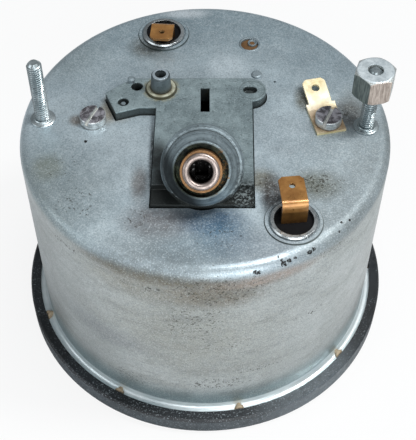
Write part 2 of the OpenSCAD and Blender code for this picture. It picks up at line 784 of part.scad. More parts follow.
// Drive shaft: thick hollow end with a square socket, thin lead to the bevel
module drive_shaft() {
    lip = 0.5;
    hole_l = 7;
    socket_l = 8;
    lead_s = drive_cone[0] * cos(barrel_tilt / 2);
    color([0.70, 0.71, 0.72]) barrel_frame() difference() {
        rotate_extrude() polygon([
            [0, lead_s], [lead_r, lead_s], [lead_r, shaft_step_s], [drive_r, shaft_step_s],
            [drive_r, shaft_end_s - lip], [drive_r - lip, shaft_end_s], [0, shaft_end_s]
        ]);
        translate([0, 0, shaft_end_s - hole_l]) cylinder(r = drive_hole_r, h = hole_l + 1);
        translate([-drive_square / 2, -drive_square / 2, shaft_end_s - hole_l - socket_l])
            cube([drive_square, drive_square, socket_l + 1]);
    }
}

module drive_bevel() {
    half_step = 180 / bevel_teeth;
    color([0.76, 0.60, 0.28]) barrel_frame()
        bevel_gear(barrel_tilt / 2, drive_cone, 90 + half_step, lead_r);
}

module cross_wheel() {
    color([0.78, 0.64, 0.34]) translate([cross_x, 0, worm_z]) rotate([-90, 0, 0])
        worm_wheel(cross_teeth, cross_r, cross_shaft_r);
}

module cross_shaft() {
    color([0.72, 0.73, 0.74]) translate([cross_x, cross_y[0], worm_z]) rotate([-90, 0, 0])
        cylinder(r = cross_shaft_r, h = cross_y[1] - cross_y[0]);
}

module cross_worm() {
    color([0.76, 0.60, 0.28]) translate([cross_x, odometer_y, worm_z]) rotate([-90, 0, 0])
        worm(cross_shaft_r);
}

module counter_wheel() {
    color([0.78, 0.64, 0.34]) translate([counter_x, odometer_y, worm_z])
        worm_wheel(counter_teeth, counter_r, cross_shaft_r);
}

module counter_shaft() {
    z0 = drum_axis_z + small_cone[0] * cos(45);
    color([0.72, 0.73, 0.74]) translate([counter_x, odometer_y, z0])
        cylinder(r = cross_shaft_r, h = worm_z + counter_post_l - z0);
}

module counter_bevel() {
    color([0.76, 0.60, 0.28]) translate([counter_x, odometer_y, drum_axis_z])
        bevel_gear(45, small_cone, 0, cross_shaft_r);
}

module drum_bevel() {
    color([0.76, 0.60, 0.28]) translate([counter_x, 0, 0]) along_x(odometer_y)
        bevel_gear(45, small_cone, 180 + 180 / bevel_teeth, axle_r + run_gap);
}

module odometer_axle() {
    x0 = odometer_start - 1;
    x1 = odometer_end + cheek_gap + cheek_t;
    color([0.72, 0.73, 0.74]) translate([x0, 0, 0]) along_x(odometer_y) cylinder(r = axle_r, h = x1 - x0);
}

// Number drum with a thin rim, a web and a hub
module number_drum(w, bore) {
    rim = 0.8;
    difference() {
        cylinder(r = drum_r, h = w);
        for (z = [-eps, w / 2 + 0.5]) translate([0, 0, z]) ring(drum_r - rim, bore + 1, w / 2 - 0.5 + eps);
        translate([0, 0, -1]) cylinder(r = bore, h = w + 2);
    }
}

// Odometer drum i, counted from the fastest; the first one carries the sleeve to its bevel
module odometer_drum(i) {
    color([0.10, 0.10, 0.11]) {
        translate([odometer_drums_x + i * (drum_w + drum_gap), 0, 0]) along_x(odometer_y)
            number_drum(drum_w, axle_r + run_gap);
        if (i == 0) translate([odometer_start - cheek_gap, 0, 0]) along_x(odometer_y)
            ring(sleeve_r, axle_r + run_gap, odometer_drums_x - odometer_start + cheek_gap + 0.2);
    }
}

// Bridge plate with drum cheeks and dial posts
module front_bridge() {
    right_odo = odometer_end + cheek_gap - drum_gap;
    right_trip = trip_end + cheek_gap - drum_gap;
    color([0.66, 0.62, 0.48]) difference() {
        union() {
            translate([-bridge_half_x, bridge_y[0], bridge_z])
                cube([2 * bridge_half_x, bridge_y[1] - bridge_y[0], bridge_t]);
            for (x = [odometer_start, right_odo]) drum_cheek(x, odometer_y);
            for (x = [trip_start, right_trip]) drum_cheek(x, reset_at[1]);
            for (s = [-1, 1]) translate([s * dial_post[0], s * dial_post[1], dial_back_z])
                cylinder(r = post_r, h = bridge_z - dial_back_z + eps);
        }
        bridge_hole([0, 0], spindle_r + run_gap);
        bridge_hole([counter_x, odometer_y], cross_shaft_r + run_gap);
        bridge_hole(reset_at, reset_lower_r + run_gap);
        for (s = [-1, 1]) bridge_hole([s * leg_x, 0], small_screw_r + screw_gap);
        for (s = [-1, 1]) translate([s * dial_post[0], s * dial_post[1], dial_back_z - 1])
            cylinder(r = small_screw_r + screw_gap, h = small_screw_l + 1);
        cheek_hole(odometer_start, odometer_y, sleeve_r + run_gap);
        cheek_hole(right_odo, odometer_y, axle_r + screw_gap);
        for (x = [trip_start, right_trip]) cheek_hole(x, reset_at[1], axle_r + run_gap);
    }
}

module drum_cheek(x, y) {
    translate([x, y - cheek_half_w, drum_axis_z - cheek_half_w])
        cube([cheek_t, 2 * cheek_half_w, bridge_z - drum_axis_z + cheek_half_w + eps]);
}

module bridge_hole(at, r) {
    translate([at[0], at[1], bridge_z - 1]) cylinder(r = r, h = bridge_t + 2);
}

module cheek_hole(x, y, r) {
    translate([x - 1, 0, 0]) along_x(y) cylinder(r = r, h = cheek_t + 2);
}

module bridge_screws() {
    color([0.7, 0.7, 0.68]) for (s = [-1, 1]) translate([s * leg_x, 0, bridge_z]) mirror([0, 0, 1])
        slotted_screw(small_screw_r, small_screw_l, small_head_r, small_head_h, small_slot, 20);
}

// Reset post: tapered hollow head outside, thin spindle down to the trip counter
module reset_spindle() {
    z0 = drum_axis_z + small_cone[0] * cos(45);
    top = back_z + reset_rise;
    foot = plate_top + reset_rim_h + 0.2;
    lip = 0.4;
    color([0.42, 0.44, 0.45]) translate([reset_at[0], reset_at[1], 0]) difference() {
        rotate_extrude() polygon([
            [0, z0], [reset_lower_r, z0], [reset_lower_r, inner_z - 1], [reset_r, inner_z - 1],
            [reset_r, foot], [reset_foot_r, foot], [reset_r, top - lip], [reset_r - lip, top], [0, top]
        ]);
        translate([0, 0, top - reset_hole_l]) cylinder(r = reset_hole_r, h = reset_hole_l + 1);
    }
}

// Bush with a rim on the plate; the post turns in it
module reset_bush() {
    h = plate_top - inner_z;
    color([0.60, 0.55, 0.42]) translate([reset_at[0], reset_at[1], inner_z]) difference() {
        union() {
            cylinder(r = reset_bush_r - reset_rim_w, h = h + eps);
            translate([0, 0, h]) cylinder(r = reset_bush_r, h = reset_rim_h);
        }
        translate([0, 0, -1]) cylinder(r = reset_r + run_gap, h = h + reset_rim_h + 2);
    }
}

module reset_bevel() {
    color([0.76, 0.60, 0.28]) translate([reset_at[0], reset_at[1], drum_axis_z])
        bevel_gear(45, small_cone, 0, reset_lower_r);
}

module trip_bevel() {
    color([0.76, 0.60, 0.28]) translate([reset_at[0], 0, 0]) along_x(reset_at[1])
        bevel_gear(45, small_cone, 180 + 180 / bevel_teeth, axle_r);
}

module trip_axle() {
    x0 = reset_at[0] + small_cone[0] * cos(45);
    x1 = trip_end + cheek_gap - drum_gap + cheek_t + 0.8;
    color([0.72, 0.73, 0.74]) translate([x0, 0, 0]) along_x(reset_at[1]) cylinder(r = axle_r, h = x1 - x0);
}

module trip_drums() {
    color([0.12, 0.12, 0.13]) for (i = [0 : trip_count - 1])
        translate([trip_drums_x + i * (trip_drum_w + drum_gap), 0, 0]) along_x(reset_at[1])
            number_drum(trip_drum_w, axle_r);
}

// Two studs riveted through the can, each with a head inside and a collar outside
module mounting_studs() {
    tip = 0.6;
    color([0.72, 0.74, 0.75]) for (p = stud_at) translate([p[0], p[1], 0]) rotate_extrude() polygon([
        [0, back_in_z - stud_head_t], [stud_head_r, back_in_z - stud_head_t], [stud_head_r, back_in_z],
        [stud_r, back_in_z], [stud_r, back_z], [stud_collar_r, back_z],
        [stud_collar_r, back_z + stud_collar_h * 0.6], [stud_r + 0.5, back_z + stud_collar_h],
        [stud_r, back_z + stud_collar_h], [stud_r, back_z + stud_l - tip], [stud_r - tip, back_z + stud_l],
        [0, back_z + stud_l]
    ]);
}

// Long hexagon nut with a round collar below
module long_nut() {
    corner_r = nut_af / 2 / cos(30);
    z0 = back_z + stud_l - nut_h;
    color([0.70, 0.71, 0.70]) translate([stud_at[1][0], stud_at[1][1], z0]) rotate(nut_turn) difference() {
        intersection() {
            union() {
                translate([0, 0, nut_collar_h]) cylinder(r = corner_r, h = nut_h - nut_collar_h, $fn = 6);
                cylinder(r = nut_af / 2 - 0.4, h = nut_collar_h + eps);
            }
            rotate_extrude() polygon([
                [0, 0], [nut_af / 2 - 1.4, 0], [corner_r, corner_r - nut_af / 2 + 1.4],
                [corner_r, nut_h - 0.7], [nut_af / 2 - 0.3, nut_h], [0, nut_h]
            ]);
        }
        translate([0, 0, -1]) cylinder(r = stud_r + run_gap, h = nut_h + 2);
    }
}

module case_screws() {
    lift = [0, blade_t];
    color([0.68, 0.70, 0.71]) for (i = [0, 1]) translate([screw_at[i][0], screw_at[i][1], back_z + lift[i]])
        slotted_screw(screw_r, screw_l, screw_head_r, screw_head_h, screw_slot, screw_turn);
}

// Spade terminal: base under the screw head and a shouldered tab bent up at its far edge
module ground_terminal() {
    half = terminal_base[0] / 2;
    far_edge = terminal_offset[1] + terminal_base[1] / 2;
    color([0.80, 0.68, 0.38]) translate([screw_at[1][0], screw_at[1][1], back_z]) difference() {
        rotate(terminal_turn) translate([terminal_offset[0], far_edge, 0]) {
            translate([-half, -terminal_base[1], 0]) cube([terminal_base[0], terminal_base[1], blade_t]);
            rotate([terminal_lift, 0, 0]) {
                translate([-half, 0, 0]) cube([terminal_base[0], terminal_shoulder_l, blade_t]);
                spade_tab(terminal_tab_l, terminal_hole_r);
            }
        }
        translate([0, 0, -1]) cylinder(r = screw_r + screw_gap, h = blade_t + 2);
    }
}

// Flat spade tab along +Y from the origin, chamfered at its end, with a hole
module spade_tab(l, hole_r = blade_hole_r) {
    half = blade_w / 2;
    difference() {
        linear_extrude(blade_t) polygon([
            [-half, 0], [half, 0], [half, l - tab_chamfer], [half - tab_chamfer, l],
            [-half + tab_chamfer, l], [-half, l - tab_chamfer]
        ]);
        translate([0, l - tab_hole_in, -1]) cylinder(r = hole_r, h = blade_t + 2);
    }
}

// Copper plug in the small hole of the can, with its pin
module case_plug() {
    color([0.60, 0.40, 0.26]) translate([plug_at[0], plug_at[1], back_in_z - 0.8]) {
        cylinder(r = plug_r + 1, h = 0.8);
        cylinder(r = plug_r - screw_gap, h = 0.8 + case_wall - plug_depth);
        translate([0.8, 0.4, 0]) cylinder(r = 0.7, h = 0.8 + case_wall);
    }
}

module case_rivet() {
    shank = rivet_r * 0.6 - screw_gap;
    rivet_tail = 0.8;
    color([0.64, 0.66, 0.67]) translate([rivet_at[0], rivet_at[1], 0]) rotate_extrude() polygon([
        [0, back_in_z - rivet_tail], [rivet_r, back_in_z - rivet_tail], [rivet_r, back_in_z],
        [shank, back_in_z], [shank, back_z], [rivet_r, back_z], [rivet_r, back_z + 0.3],
        [rivet_r * 0.7, back_z + 0.5], [0, back_z + 0.5]
    ]);
}

// Lamp holder shell: tube through the can with a rim outside
module lamp_socket(at) {
    color([0.72, 0.72, 0.70]) translate([at[0], at[1], back_z]) difference() {
        union() {
            translate([0, 0, -lamp_shell_l]) cylinder(r = lamp_shell_r, h = lamp_shell_l + eps);
            cylinder(r = lamp_rim_r, h = lamp_rim_h * 0.6);
            translate([0, 0, lamp_rim_h * 0.6 - eps])
                cylinder(r1 = lamp_rim_r, r2 = lamp_rim_r - 0.3, h = lamp_rim_h * 0.4);
        }
        translate([0, 0, -lamp_shell_l - 1]) cylinder(r = lamp_shell_r - lamp_wall, h = lamp_shell_l + 4);
    }
}

module lamp_insulator(at, turn, shift) {
    color([0.10, 0.09, 0.08]) translate([at[0], at[1], back_z - insulator_h]) difference() {
        cylinder(r = lamp_shell_r - lamp_wall, h = insulator_h);
        translate([0, shift, insulator_h - blade_root]) rotate(turn)
            translate([-blade_w / 2, -blade_t / 2, 0]) cube([blade_w, blade_t, blade_root + 1]);
    }
}

// Lamp blade: upright leg from the insulator, bend, then a flat tab towards turn
module lamp_blade(at, turn, shift, rise, reach) {
    color([0.52, 0.34, 0.16]) translate([at[0], at[1] + shift, back_z]) rotate(turn) {
        translate([-blade_w / 2, -blade_t / 2, -blade_root])
            cube([blade_w, blade_t, rise + blade_root - blade_bend]);
        translate([-blade_w / 2, blade_bend - blade_t / 2, rise - blade_bend]) rotate([90, 0, 90])
            rotate(90) rotate_extrude(angle = 90) translate([blade_bend - blade_t, 0])
                square([blade_t, blade_w]);
        translate([0, blade_bend - blade_t / 2, rise - blade_t]) spade_tab(reach - blade_bend);
    }
}

module lamp_bulb(at) {
    color([0.9, 0.9, 0.85, 0.5]) translate([at[0], at[1], back_z - insulator_h - bulb_l]) {
        cylinder(r = bulb_r, h = bulb_l);
        sphere(r = bulb_r);
    }
}

rear_case();
bezel_ring();
case_seal();
glass_seal();
glass();
light_ring();
dial();
dial_screws();
stop_pin();
pointer();
pointer_cap();
pointer_spindle();
hairspring();
speed_cup();
field_cup();
magnet();
magnet_shaft();
magnet_bevel();
drive_worm();
movement_frame();
frame_pins();
drive_bush();
drive_shaft();
drive_bevel();
cross_wheel();
cross_shaft();
cross_worm();
counter_wheel();
counter_shaft();
counter_bevel();
drum_bevel();
odometer_axle();
odometer_drum(0);  // odometer_drum_1
odometer_drum(1);  // odometer_drum_2
odometer_drum(2);  // odometer_drum_3
odometer_drum(3);  // odometer_drum_4
odometer_drum(4);  // odometer_drum_5
front_bridge();
bridge_screws();
reset_spindle();
reset_bush();
reset_bevel();
trip_bevel();
trip_axle();
trip_drums();
mounting_studs();
long_nut();
case_screws();
ground_terminal();
case_plug();
case_rivet();
lamp_socket(lamp_near);  // lamp_socket_near
lamp_insulator(lamp_near, blade_near_turn, 0);  // lamp_insulator_near
lamp_blade(lamp_near, blade_near_turn, 0, blade_near_rise, blade_near_l);  // lamp_blade_near
lamp_bulb(lamp_near);  // lamp_bulb_near
lamp_socket(lamp_far);  // lamp_socket_far
lamp_insulator(lamp_far, blade_far_turn, blade_far_shift);  // lamp_insulator_far
lamp_blade(lamp_far, blade_far_turn, blade_far_shift, blade_far_rise, blade_far_l);  // lamp_blade_far
lamp_bulb(lamp_far);  // lamp_bulb_far
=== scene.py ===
"""Looks of the panel speedometer: finishes, threads, dial printing, lamps and light."""
import math

import bmesh
import bpy
from mathutils import Matrix, Vector


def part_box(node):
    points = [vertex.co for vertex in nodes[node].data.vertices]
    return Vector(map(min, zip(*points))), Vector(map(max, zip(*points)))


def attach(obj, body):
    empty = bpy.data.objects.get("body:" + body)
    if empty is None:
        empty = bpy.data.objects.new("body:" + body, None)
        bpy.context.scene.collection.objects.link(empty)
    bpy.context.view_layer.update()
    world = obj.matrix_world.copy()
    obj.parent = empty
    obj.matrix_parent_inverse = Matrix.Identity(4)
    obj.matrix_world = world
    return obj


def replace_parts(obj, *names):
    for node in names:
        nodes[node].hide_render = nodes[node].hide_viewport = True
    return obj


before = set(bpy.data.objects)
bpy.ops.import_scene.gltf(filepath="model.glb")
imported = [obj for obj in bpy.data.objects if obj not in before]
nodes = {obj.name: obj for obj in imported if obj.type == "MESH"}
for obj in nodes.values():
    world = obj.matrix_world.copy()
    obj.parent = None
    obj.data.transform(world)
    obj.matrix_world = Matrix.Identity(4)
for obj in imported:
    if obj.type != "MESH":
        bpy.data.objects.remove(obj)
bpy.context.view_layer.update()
MM = 0.001

# Levels, radii and axes of the part, in metres
CASE_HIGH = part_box("rear_case")[1]
LAMP_RING_RISE = 0.35 * MM
BACK_Z = CASE_HIGH.z - LAMP_RING_RISE
BEZEL_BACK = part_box("bezel_ring")[1].z
PLATE_RISE = 2.6 * MM
PLATE_TOP = BACK_Z + PLATE_RISE
CASE_R = 49 * MM
RESET_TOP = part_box("reset_spindle")[1].z
RESET_RING_R = (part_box("reset_bush")[1].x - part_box("reset_bush")[0].x) / 2
NUT_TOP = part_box("long_nut")[1].z
LAMP_RING_R = 7.15 * MM
SPOTFACE = (12.6 * MM, 10.1 * MM, 0.0)
UP = (0, 0, 1)
RESET_AXIS = ((-11.8 * MM, 10.5 * MM, 0.0), UP)

# Places and sizes on the back, in millimetres
BACK_MM, PLATE_MM = BACK_Z / MM, PLATE_TOP / MM
PLATE_STEP_Y = -23.5
LAMP_AT = ((21.55, -33.1), (-11.8, 35.7))
NUT_AT, NUT_HALF = (42.35, -1.0), 4.75
STUD_AT, STUD_R = ((-42.9, 1.7), NUT_AT), 1.95
SCREW_RIGHT = (32.4, 0.1)
SCREW_HEAD_H, SCREW_SLOT_D = 2.5, 1.2
TAB_T, TAB_END = 0.8, (29.4, 12.8)

# Axis of the drive barrel, which leans over towards -Y
BARREL_DEPTH = 12 * MM
BARREL_TILT, BARREL_YAW = math.radians(48.4), math.radians(-1.8)
BARREL_AXIS = (math.sin(BARREL_TILT) * math.sin(BARREL_YAW), -math.sin(BARREL_TILT) * math.cos(BARREL_YAW),
               math.cos(BARREL_TILT))
BARREL_POINT = (0.0, 0.0, BACK_Z - BARREL_DEPTH)
# Direction across the barrel's face, to the lower left in the photograph
LOWER_LEFT = (-0.85, -0.35, -0.40)


def srgb(r, g, b):
    """Linear colour of an 8-bit display colour."""
    def channel(v):
        v = v / 255
        return v / 12.92 if v <= 0.04045 else ((v + 0.055) / 1.055) ** 2.4
    return (channel(r), channel(g), channel(b), 1.0)


class Finish:
    """A material with one principled shader and helpers that add its procedural detail."""

    def __init__(self, name, metallic=0.0, roughness=0.5, specular=0.5, edge=0.0):
        self.material = bpy.data.materials.new(name)
        self.material.use_nodes = True
        self.tree = self.material.node_tree
        self.tree.nodes.clear()
        self.shader = self.add("ShaderNodeBsdfPrincipled")
        out = self.add("ShaderNodeOutputMaterial")
        self.link(self.shader.outputs[0], out.inputs[0])
        self.shader.inputs["Metallic"].default_value = metallic
        self.shader.inputs["Roughness"].default_value = roughness
        self.shader.inputs["Specular IOR Level"].default_value = specular
        self.coords = self.add("ShaderNodeTexCoord").outputs["Object"]
        if edge:
            rounded = self.add("ShaderNodeBevel")
            rounded.samples = 4
            rounded.inputs["Radius"].default_value = edge
            self.link(rounded.outputs[0], self.shader.inputs["Normal"])

    def add(self, kind):
        return self.tree.nodes.new(kind)

    def link(self, source, target):
        self.tree.links.new(source, target)

    def put(self, socket, value):
        """Set a socket to a constant, or link another socket to it."""
        if isinstance(value, bpy.types.NodeSocket):
            self.link(value, socket)
        else:
            socket.default_value = value

    def stretched(self, scale):
        """Coordinates scaled along each axis, for drawn grain."""
        node = self.add("ShaderNodeMapping")
        node.inputs["Scale"].default_value = scale
        self.link(self.coords, node.inputs["Vector"])
        return node.outputs[0]

    def noise(self, scale, detail=4.0, rough=0.6, vector=None, distortion=0.0):
        node = self.add("ShaderNodeTexNoise")
        node.inputs["Scale"].default_value = scale
        node.inputs["Detail"].default_value = detail
        node.inputs["Roughness"].default_value = rough
        node.inputs["Distortion"].default_value = distortion
        self.link(vector or self.coords, node.inputs["Vector"])
        return node.outputs["Fac"]

    def remap(self, value, low, high, out_low=0.0, out_high=1.0):
        """Smooth step from one number to another as a value goes from low to high."""
        node = self.add("ShaderNodeMapRange")
        node.interpolation_type = "SMOOTHSTEP"
        self.link(value, node.inputs["Value"])
        names = ("From Min", "From Max", "To Min", "To Max")
        for name, number in zip(names, (low, high, out_low, out_high)):
            node.inputs[name].default_value = number
        return node.outputs[0]

    def math(self, operation, a, b=0.0):
        node = self.add("ShaderNodeMath")
        node.operation = operation
        self.put(node.inputs[0], a)
        self.put(node.inputs[1], b)
        return node.outputs[0]

    def times(self, *values):
        result = values[0]
        for value in values[1:]:
            result = self.math("MULTIPLY", result, value)
        return result

    def mix(self, factor, a, b):
        node = self.add("ShaderNodeMix")
        node.data_type = "RGBA"
        self.put(node.inputs["Factor"], factor)
        self.put(node.inputs[6], a)
        self.put(node.inputs[7], b)
        return node.outputs[2]

    def spot(self, centre, radius, squash=(1, 1, 1), ragged=0.5, grain=350):
        """Mask that is 1 near a place given in millimetres and breaks up towards its edge."""
        shift = self.vector("SUBTRACT", self.coords, [c * MM for c in centre]).outputs[0]
        scaled = self.vector("MULTIPLY", shift, squash).outputs[0]
        near = self.remap(self.length(scaled), radius * MM, 0.25 * radius * MM)
        broken = self.remap(self.noise(grain, 6, 0.7), 0.5 - 0.35 * (1 - ragged), 0.62)
        return self.times(near, self.math("ADD", self.times(broken, ragged), 1 - ragged))

    def vector(self, operation, a, b):
        node = self.add("ShaderNodeVectorMath")
        node.operation = operation
        self.put(node.inputs[0], a)
        self.put(node.inputs[1], b)
        return node

    def length(self, vector):
        node = self.add("ShaderNodeVectorMath")
        node.operation = "LENGTH"
        self.link(vector, node.inputs[0])
        return node.outputs["Value"]

    def off_axis(self, point, axis):
        """Distance from a line, which is given by a point in metres and a unit direction."""
        from_point = self.vector("SUBTRACT", self.coords, point).outputs[0]
        return self.length(self.vector("CROSS_PRODUCT", from_point, axis).outputs[0])

    def along_axis(self, point, axis):
        """Distance along a line from its point, in metres."""
        from_point = self.vector("SUBTRACT", self.coords, point).outputs[0]
        return self.vector("DOT_PRODUCT", from_point, axis).outputs["Value"]

    def wall_vector(self, along, across):
        """Coordinates round the can's wall, for marks that run round it."""
        turn = self.math("ARCTAN2", self.place("Y"), self.place("X"))
        node = self.add("ShaderNodeCombineXYZ")
        self.link(self.times(turn, CASE_R, along), node.inputs[0])
        self.link(self.times(self.place("Z"), across), node.inputs[1])
        return node.outputs[0]

    def ring_vector(self, distance, scale):
        """Coordinates that change only with a distance, for turned rings."""
        node = self.add("ShaderNodeCombineXYZ")
        self.link(self.math("MULTIPLY", distance, scale), node.inputs[0])
        return node.outputs[0]

    def band(self, value, low, high, soft=0.15 * MM):
        """Mask that is 1 where a length lies between two others."""
        above = self.remap(value, low - soft, low + soft)
        return self.times(above, self.remap(value, high + soft, high - soft))

    def place(self, axis):
        """Coordinate of the surface along X, Y or Z of the frame, in metres."""
        node = self.add("ShaderNodeSeparateXYZ")
        self.link(self.coords, node.inputs[0])
        return node.outputs["XYZ".index(axis)]

    def colour(self, value):
        self.put(self.shader.inputs["Base Color"], value)

    def base(self):
        """Colour that the shader has so far."""
        return self.shader.inputs["Base Color"].links[0].from_socket

    def rough(self, value):
        self.put(self.shader.inputs["Roughness"], value)

    def uneven(self, grain, low, high):
        """Roughness that wanders between about two values."""
        self.rough(self.remap(self.noise(grain, 4, 0.6), 0.3, 0.7, low, high))

    def bump(self, value, strength=0.2, distance=0.2 * MM):
        node = self.add("ShaderNodeBump")
        node.inputs["Strength"].default_value = strength
        node.inputs["Distance"].default_value = distance
        self.link(value, node.inputs["Height"])
        if self.shader.inputs["Normal"].is_linked:
            self.link(self.shader.inputs["Normal"].links[0].from_socket, node.inputs["Normal"])
        self.link(node.outputs[0], self.shader.inputs["Normal"])


def dress(material, *names):
    """Give CAD nodes a finish."""
    for name in names:
        mesh = nodes[name].data
        mesh.materials.clear()
        mesh.materials.append(material)


METAL_GRAIN = 900


def metal(name, light, dark, roughness, metallic=1.0, specks=0.35, edge=0.12 * MM):
    """Worn metal: cloudy tone, fine specks and uneven gloss."""
    f = Finish(name, metallic, roughness, edge=edge)
    cloud = f.remap(f.noise(90, 5, 0.6), 0.35, 0.65)
    tone = f.mix(cloud, srgb(*dark), srgb(*light))
    speck = f.remap(f.noise(3 * METAL_GRAIN, 2, 0.5), 0.62, 0.72)
    deep = srgb(*[0.45 * c for c in dark])
    f.colour(f.mix(f.times(speck, specks), tone, deep))
    f.uneven(METAL_GRAIN, roughness - 0.07, roughness + 0.1)
    f.bump(f.noise(METAL_GRAIN, 6, 0.65), 0.08)
    return f


# Soft patches painted on the can, stains and grime, and painted shade and shadows where marked: place and
# radius in millimetres, squash, colour, strength
CASE_TINTS = (
    ((1, -33, 69), 9, (0.7, 1.2, 1), (36, 78, 110), 0.9),
    ((5, -39, 69), 8, (0.8, 1.0, 1), (66, 106, 132), 0.75),
    ((-3, -42, 69), 9, (0.6, 1.2, 1), (106, 132, 148), 0.6),
    ((14.0, -19.8, 69), 5.5, (1.0, 1.0, 1), (116, 110, 88), 0.8),
    # painted shadow of the near lamp's blade, over grime
    ((16.8, -24.0, 69), 7.5, (1.6, 0.8, 1), (44, 30, 22), 1.0),
    # painted shadow: a thin black line along the plate's left edge
    ((-13.7, -12.5, 69), 17.5, (22, 1, 1), (14, 16, 16), 0.95),
    ((-25.3, 5.4, 69), 6, (9, 1.2, 1), (20, 22, 20), 0.8),
    ((28.0, -21.4, 69), 10.5, (1.1, 1.5, 1), (90, 90, 70), 1.0),
    # painted shadow of the barrel, browner, left of the plate's lower corner
    ((-16.5, -21, 69), 6, (1.8, 0.7, 1), (92, 78, 70), 0.7),
    ((-12, -33, 69), 9.5, (0.8, 1.1, 1), (98, 96, 98), 0.9),
    # painted shadow of the right nut over a dark brown stain
    ((38.3, 3.6, 69), 7, (1, 0.9, 1), (62, 50, 42), 0.95),
    # painted shadow beside the terminal's tab
    ((26.3, 9.2, 69), 6, (1.9, 0.8, 1), (72, 68, 48), 0.9),
    # painted shade: darker crease under the rounded edge on the right
    ((49.2, -3, 65.5), 17, (3.2, 0.8, 2.6), (66, 78, 78), 0.85),
    ((-25.8, 5, 69), 5, (1.6, 0.7, 1), (158, 148, 126), 0.8),
    ((-34, 1.2, 69), 3, (1, 1, 1), (96, 72, 44), 0.7),
    ((-40.2, -15.6, 69), 6, (1, 0.9, 1), (122, 124, 100), 0.6),
    ((40, 8, 69), 7, (1.3, 0.8, 1), (112, 116, 112), 0.5),
    ((-23, 4, 69), 5, (1, 1, 1), (176, 172, 160), 0.5),
    ((14, -41, 69), 11, (0.7, 1.2, 1), (130, 140, 148), 0.75),
    ((23, -5, 69), 13, (1, 1, 1), (144, 156, 163), 0.55),
    # front left of the rounded edge darker: grime and painted shade
    ((-13, -46.6, 68.2), 22, (0.8, 1.5, 3), (98, 106, 108), 0.75),
    # brown band just under the rounded edge: grime and painted shade
    ((-14, -48.6, 65.0), 24, (0.75, 1, 7.5), (94, 84, 62), 0.75),
    ((-14, -49, 60), 22, (0.75, 1, 3.0), (132, 124, 104), 0.5),
    ((3, -49, 60), 12, (0.7, 1, 1.5), (98, 82, 54), 0.75),
    ((16, -47, 64), 15, (0.8, 1, 4.5), (156, 134, 118), 0.65),
    ((-4, -49, 42), 26, (0.8, 1, 1.2), (146, 146, 136), 0.6),
    ((-27, -41, 32), 16, (0.7, 0.8, 2.0), (128, 132, 134), 0.65),
    ((8, -48, 26), 20, (0.7, 1, 2.2), (140, 142, 136), 0.55),
    # painted shade: darker band on the left of the rounded edge
    ((-42, -26, 67.5), 22, (0.7, 0.7, 6), (104, 114, 110), 0.6),
    # this entry and the next: painted shade, the rounded edge darker on the right and front right
    ((45, -20, 67.5), 34, (1, 0.8, 7.5), (118, 126, 128), 0.82),
    ((31, -37, 67.5), 15, (0.8, 0.8, 3.5), (112, 118, 118), 0.5),
    ((6, 22, 69), 9, (1, 1.2, 1), (196, 209, 216), 0.75),
    ((-6, 45, 69), 6, (0.6, 1.8, 1), (204, 213, 219), 0.85),
    ((-38, 26, 69), 14, (1, 1, 1), (118, 132, 136), 0.6),
    # painted shadow of the far lamp's blade
    ((-16.6, 30.2, 69), 7.5, (1.1, 1.1, 1), (84, 87, 82), 0.9),
)
# Places where dark specks crowd: place, radius, squash, density
CASE_SPECKS = (
    ((-32, -27, 69), 9, (0.9, 1.1, 1), 0.8),
    ((-36, -14, 69), 9, (1.1, 0.9, 1), 0.6),
    ((28.0, -21.4, 69), 9, (0.9, 1.5, 1), 1.1),
    ((15, -21, 69), 5, (1, 1, 1), 1.0),
    ((38.3, 3.6, 69), 7, (1, 1.0, 1), 0.9),
    ((4, -36, 69), 10, (0.8, 1, 1), 0.7),
    ((-16, -33, 69), 7, (1, 1, 1), 0.7),
    ((4, -49, 62), 15, (0.7, 1, 1.5), 1.0),
    ((-14, -48, 60), 12, (0.7, 1, 2.2), 0.75),
    ((-3, -49, 49), 12, (0.8, 1, 0.8), 0.85),
    ((5, -49, 38), 10, (0.7, 1, 1.2), 0.7),
    ((-22, -44, 15), 10, (0.8, 1, 2.2), 0.95),
    ((4, -49, 18), 12, (0.7, 1, 2.4), 0.95),
    ((14, -47, 23), 9, (0.7, 1, 4.0), 1.0),
    ((26, -41, 41), 10, (0.8, 1, 2.6), 0.85),
    ((30, -39, 64), 14, (1, 0.8, 3.5), 0.8),
    ((-35, -34, 62), 7, (0.6, 0.6, 3.5), 1.1),
)
# Deep black chips along the rounded edge
CASE_CHIPS = (
    ((12.3, -47.0, 67.3), 1.35, (0.9, 2.0, 1.8)),
    ((18.8, -44.7, 67.5), 1.1, (1, 1.2, 1.3)),
    ((20.0, -44.0, 67.8), 0.85, (1, 1.1, 1.2)),
    ((18.2, -44.2, 68.3), 0.55, (1, 1, 1)),
    ((17.4, -43.6, 68.8), 0.4, (1, 1, 1)),
    ((21.4, -43.2, 67.9), 0.55, (1, 1, 1)),
    ((24.9, -41.4, 67.7), 1.1, (1, 1.5, 1.6)),
    ((25.9, -40.7, 67.9), 0.95, (1, 1.3, 1.4)),
    ((33.2, -33.2, 68.8), 0.45, (0.8, 1, 1)),
    ((32.5, -35.4, 68.1), 0.4, (1, 1, 1)),
    ((35.3, -32.0, 68.4), 0.45, (0.8, 1, 1)),
    ((-31.0, -6.4, 69), 0.6, (1, 1, 1)),
)


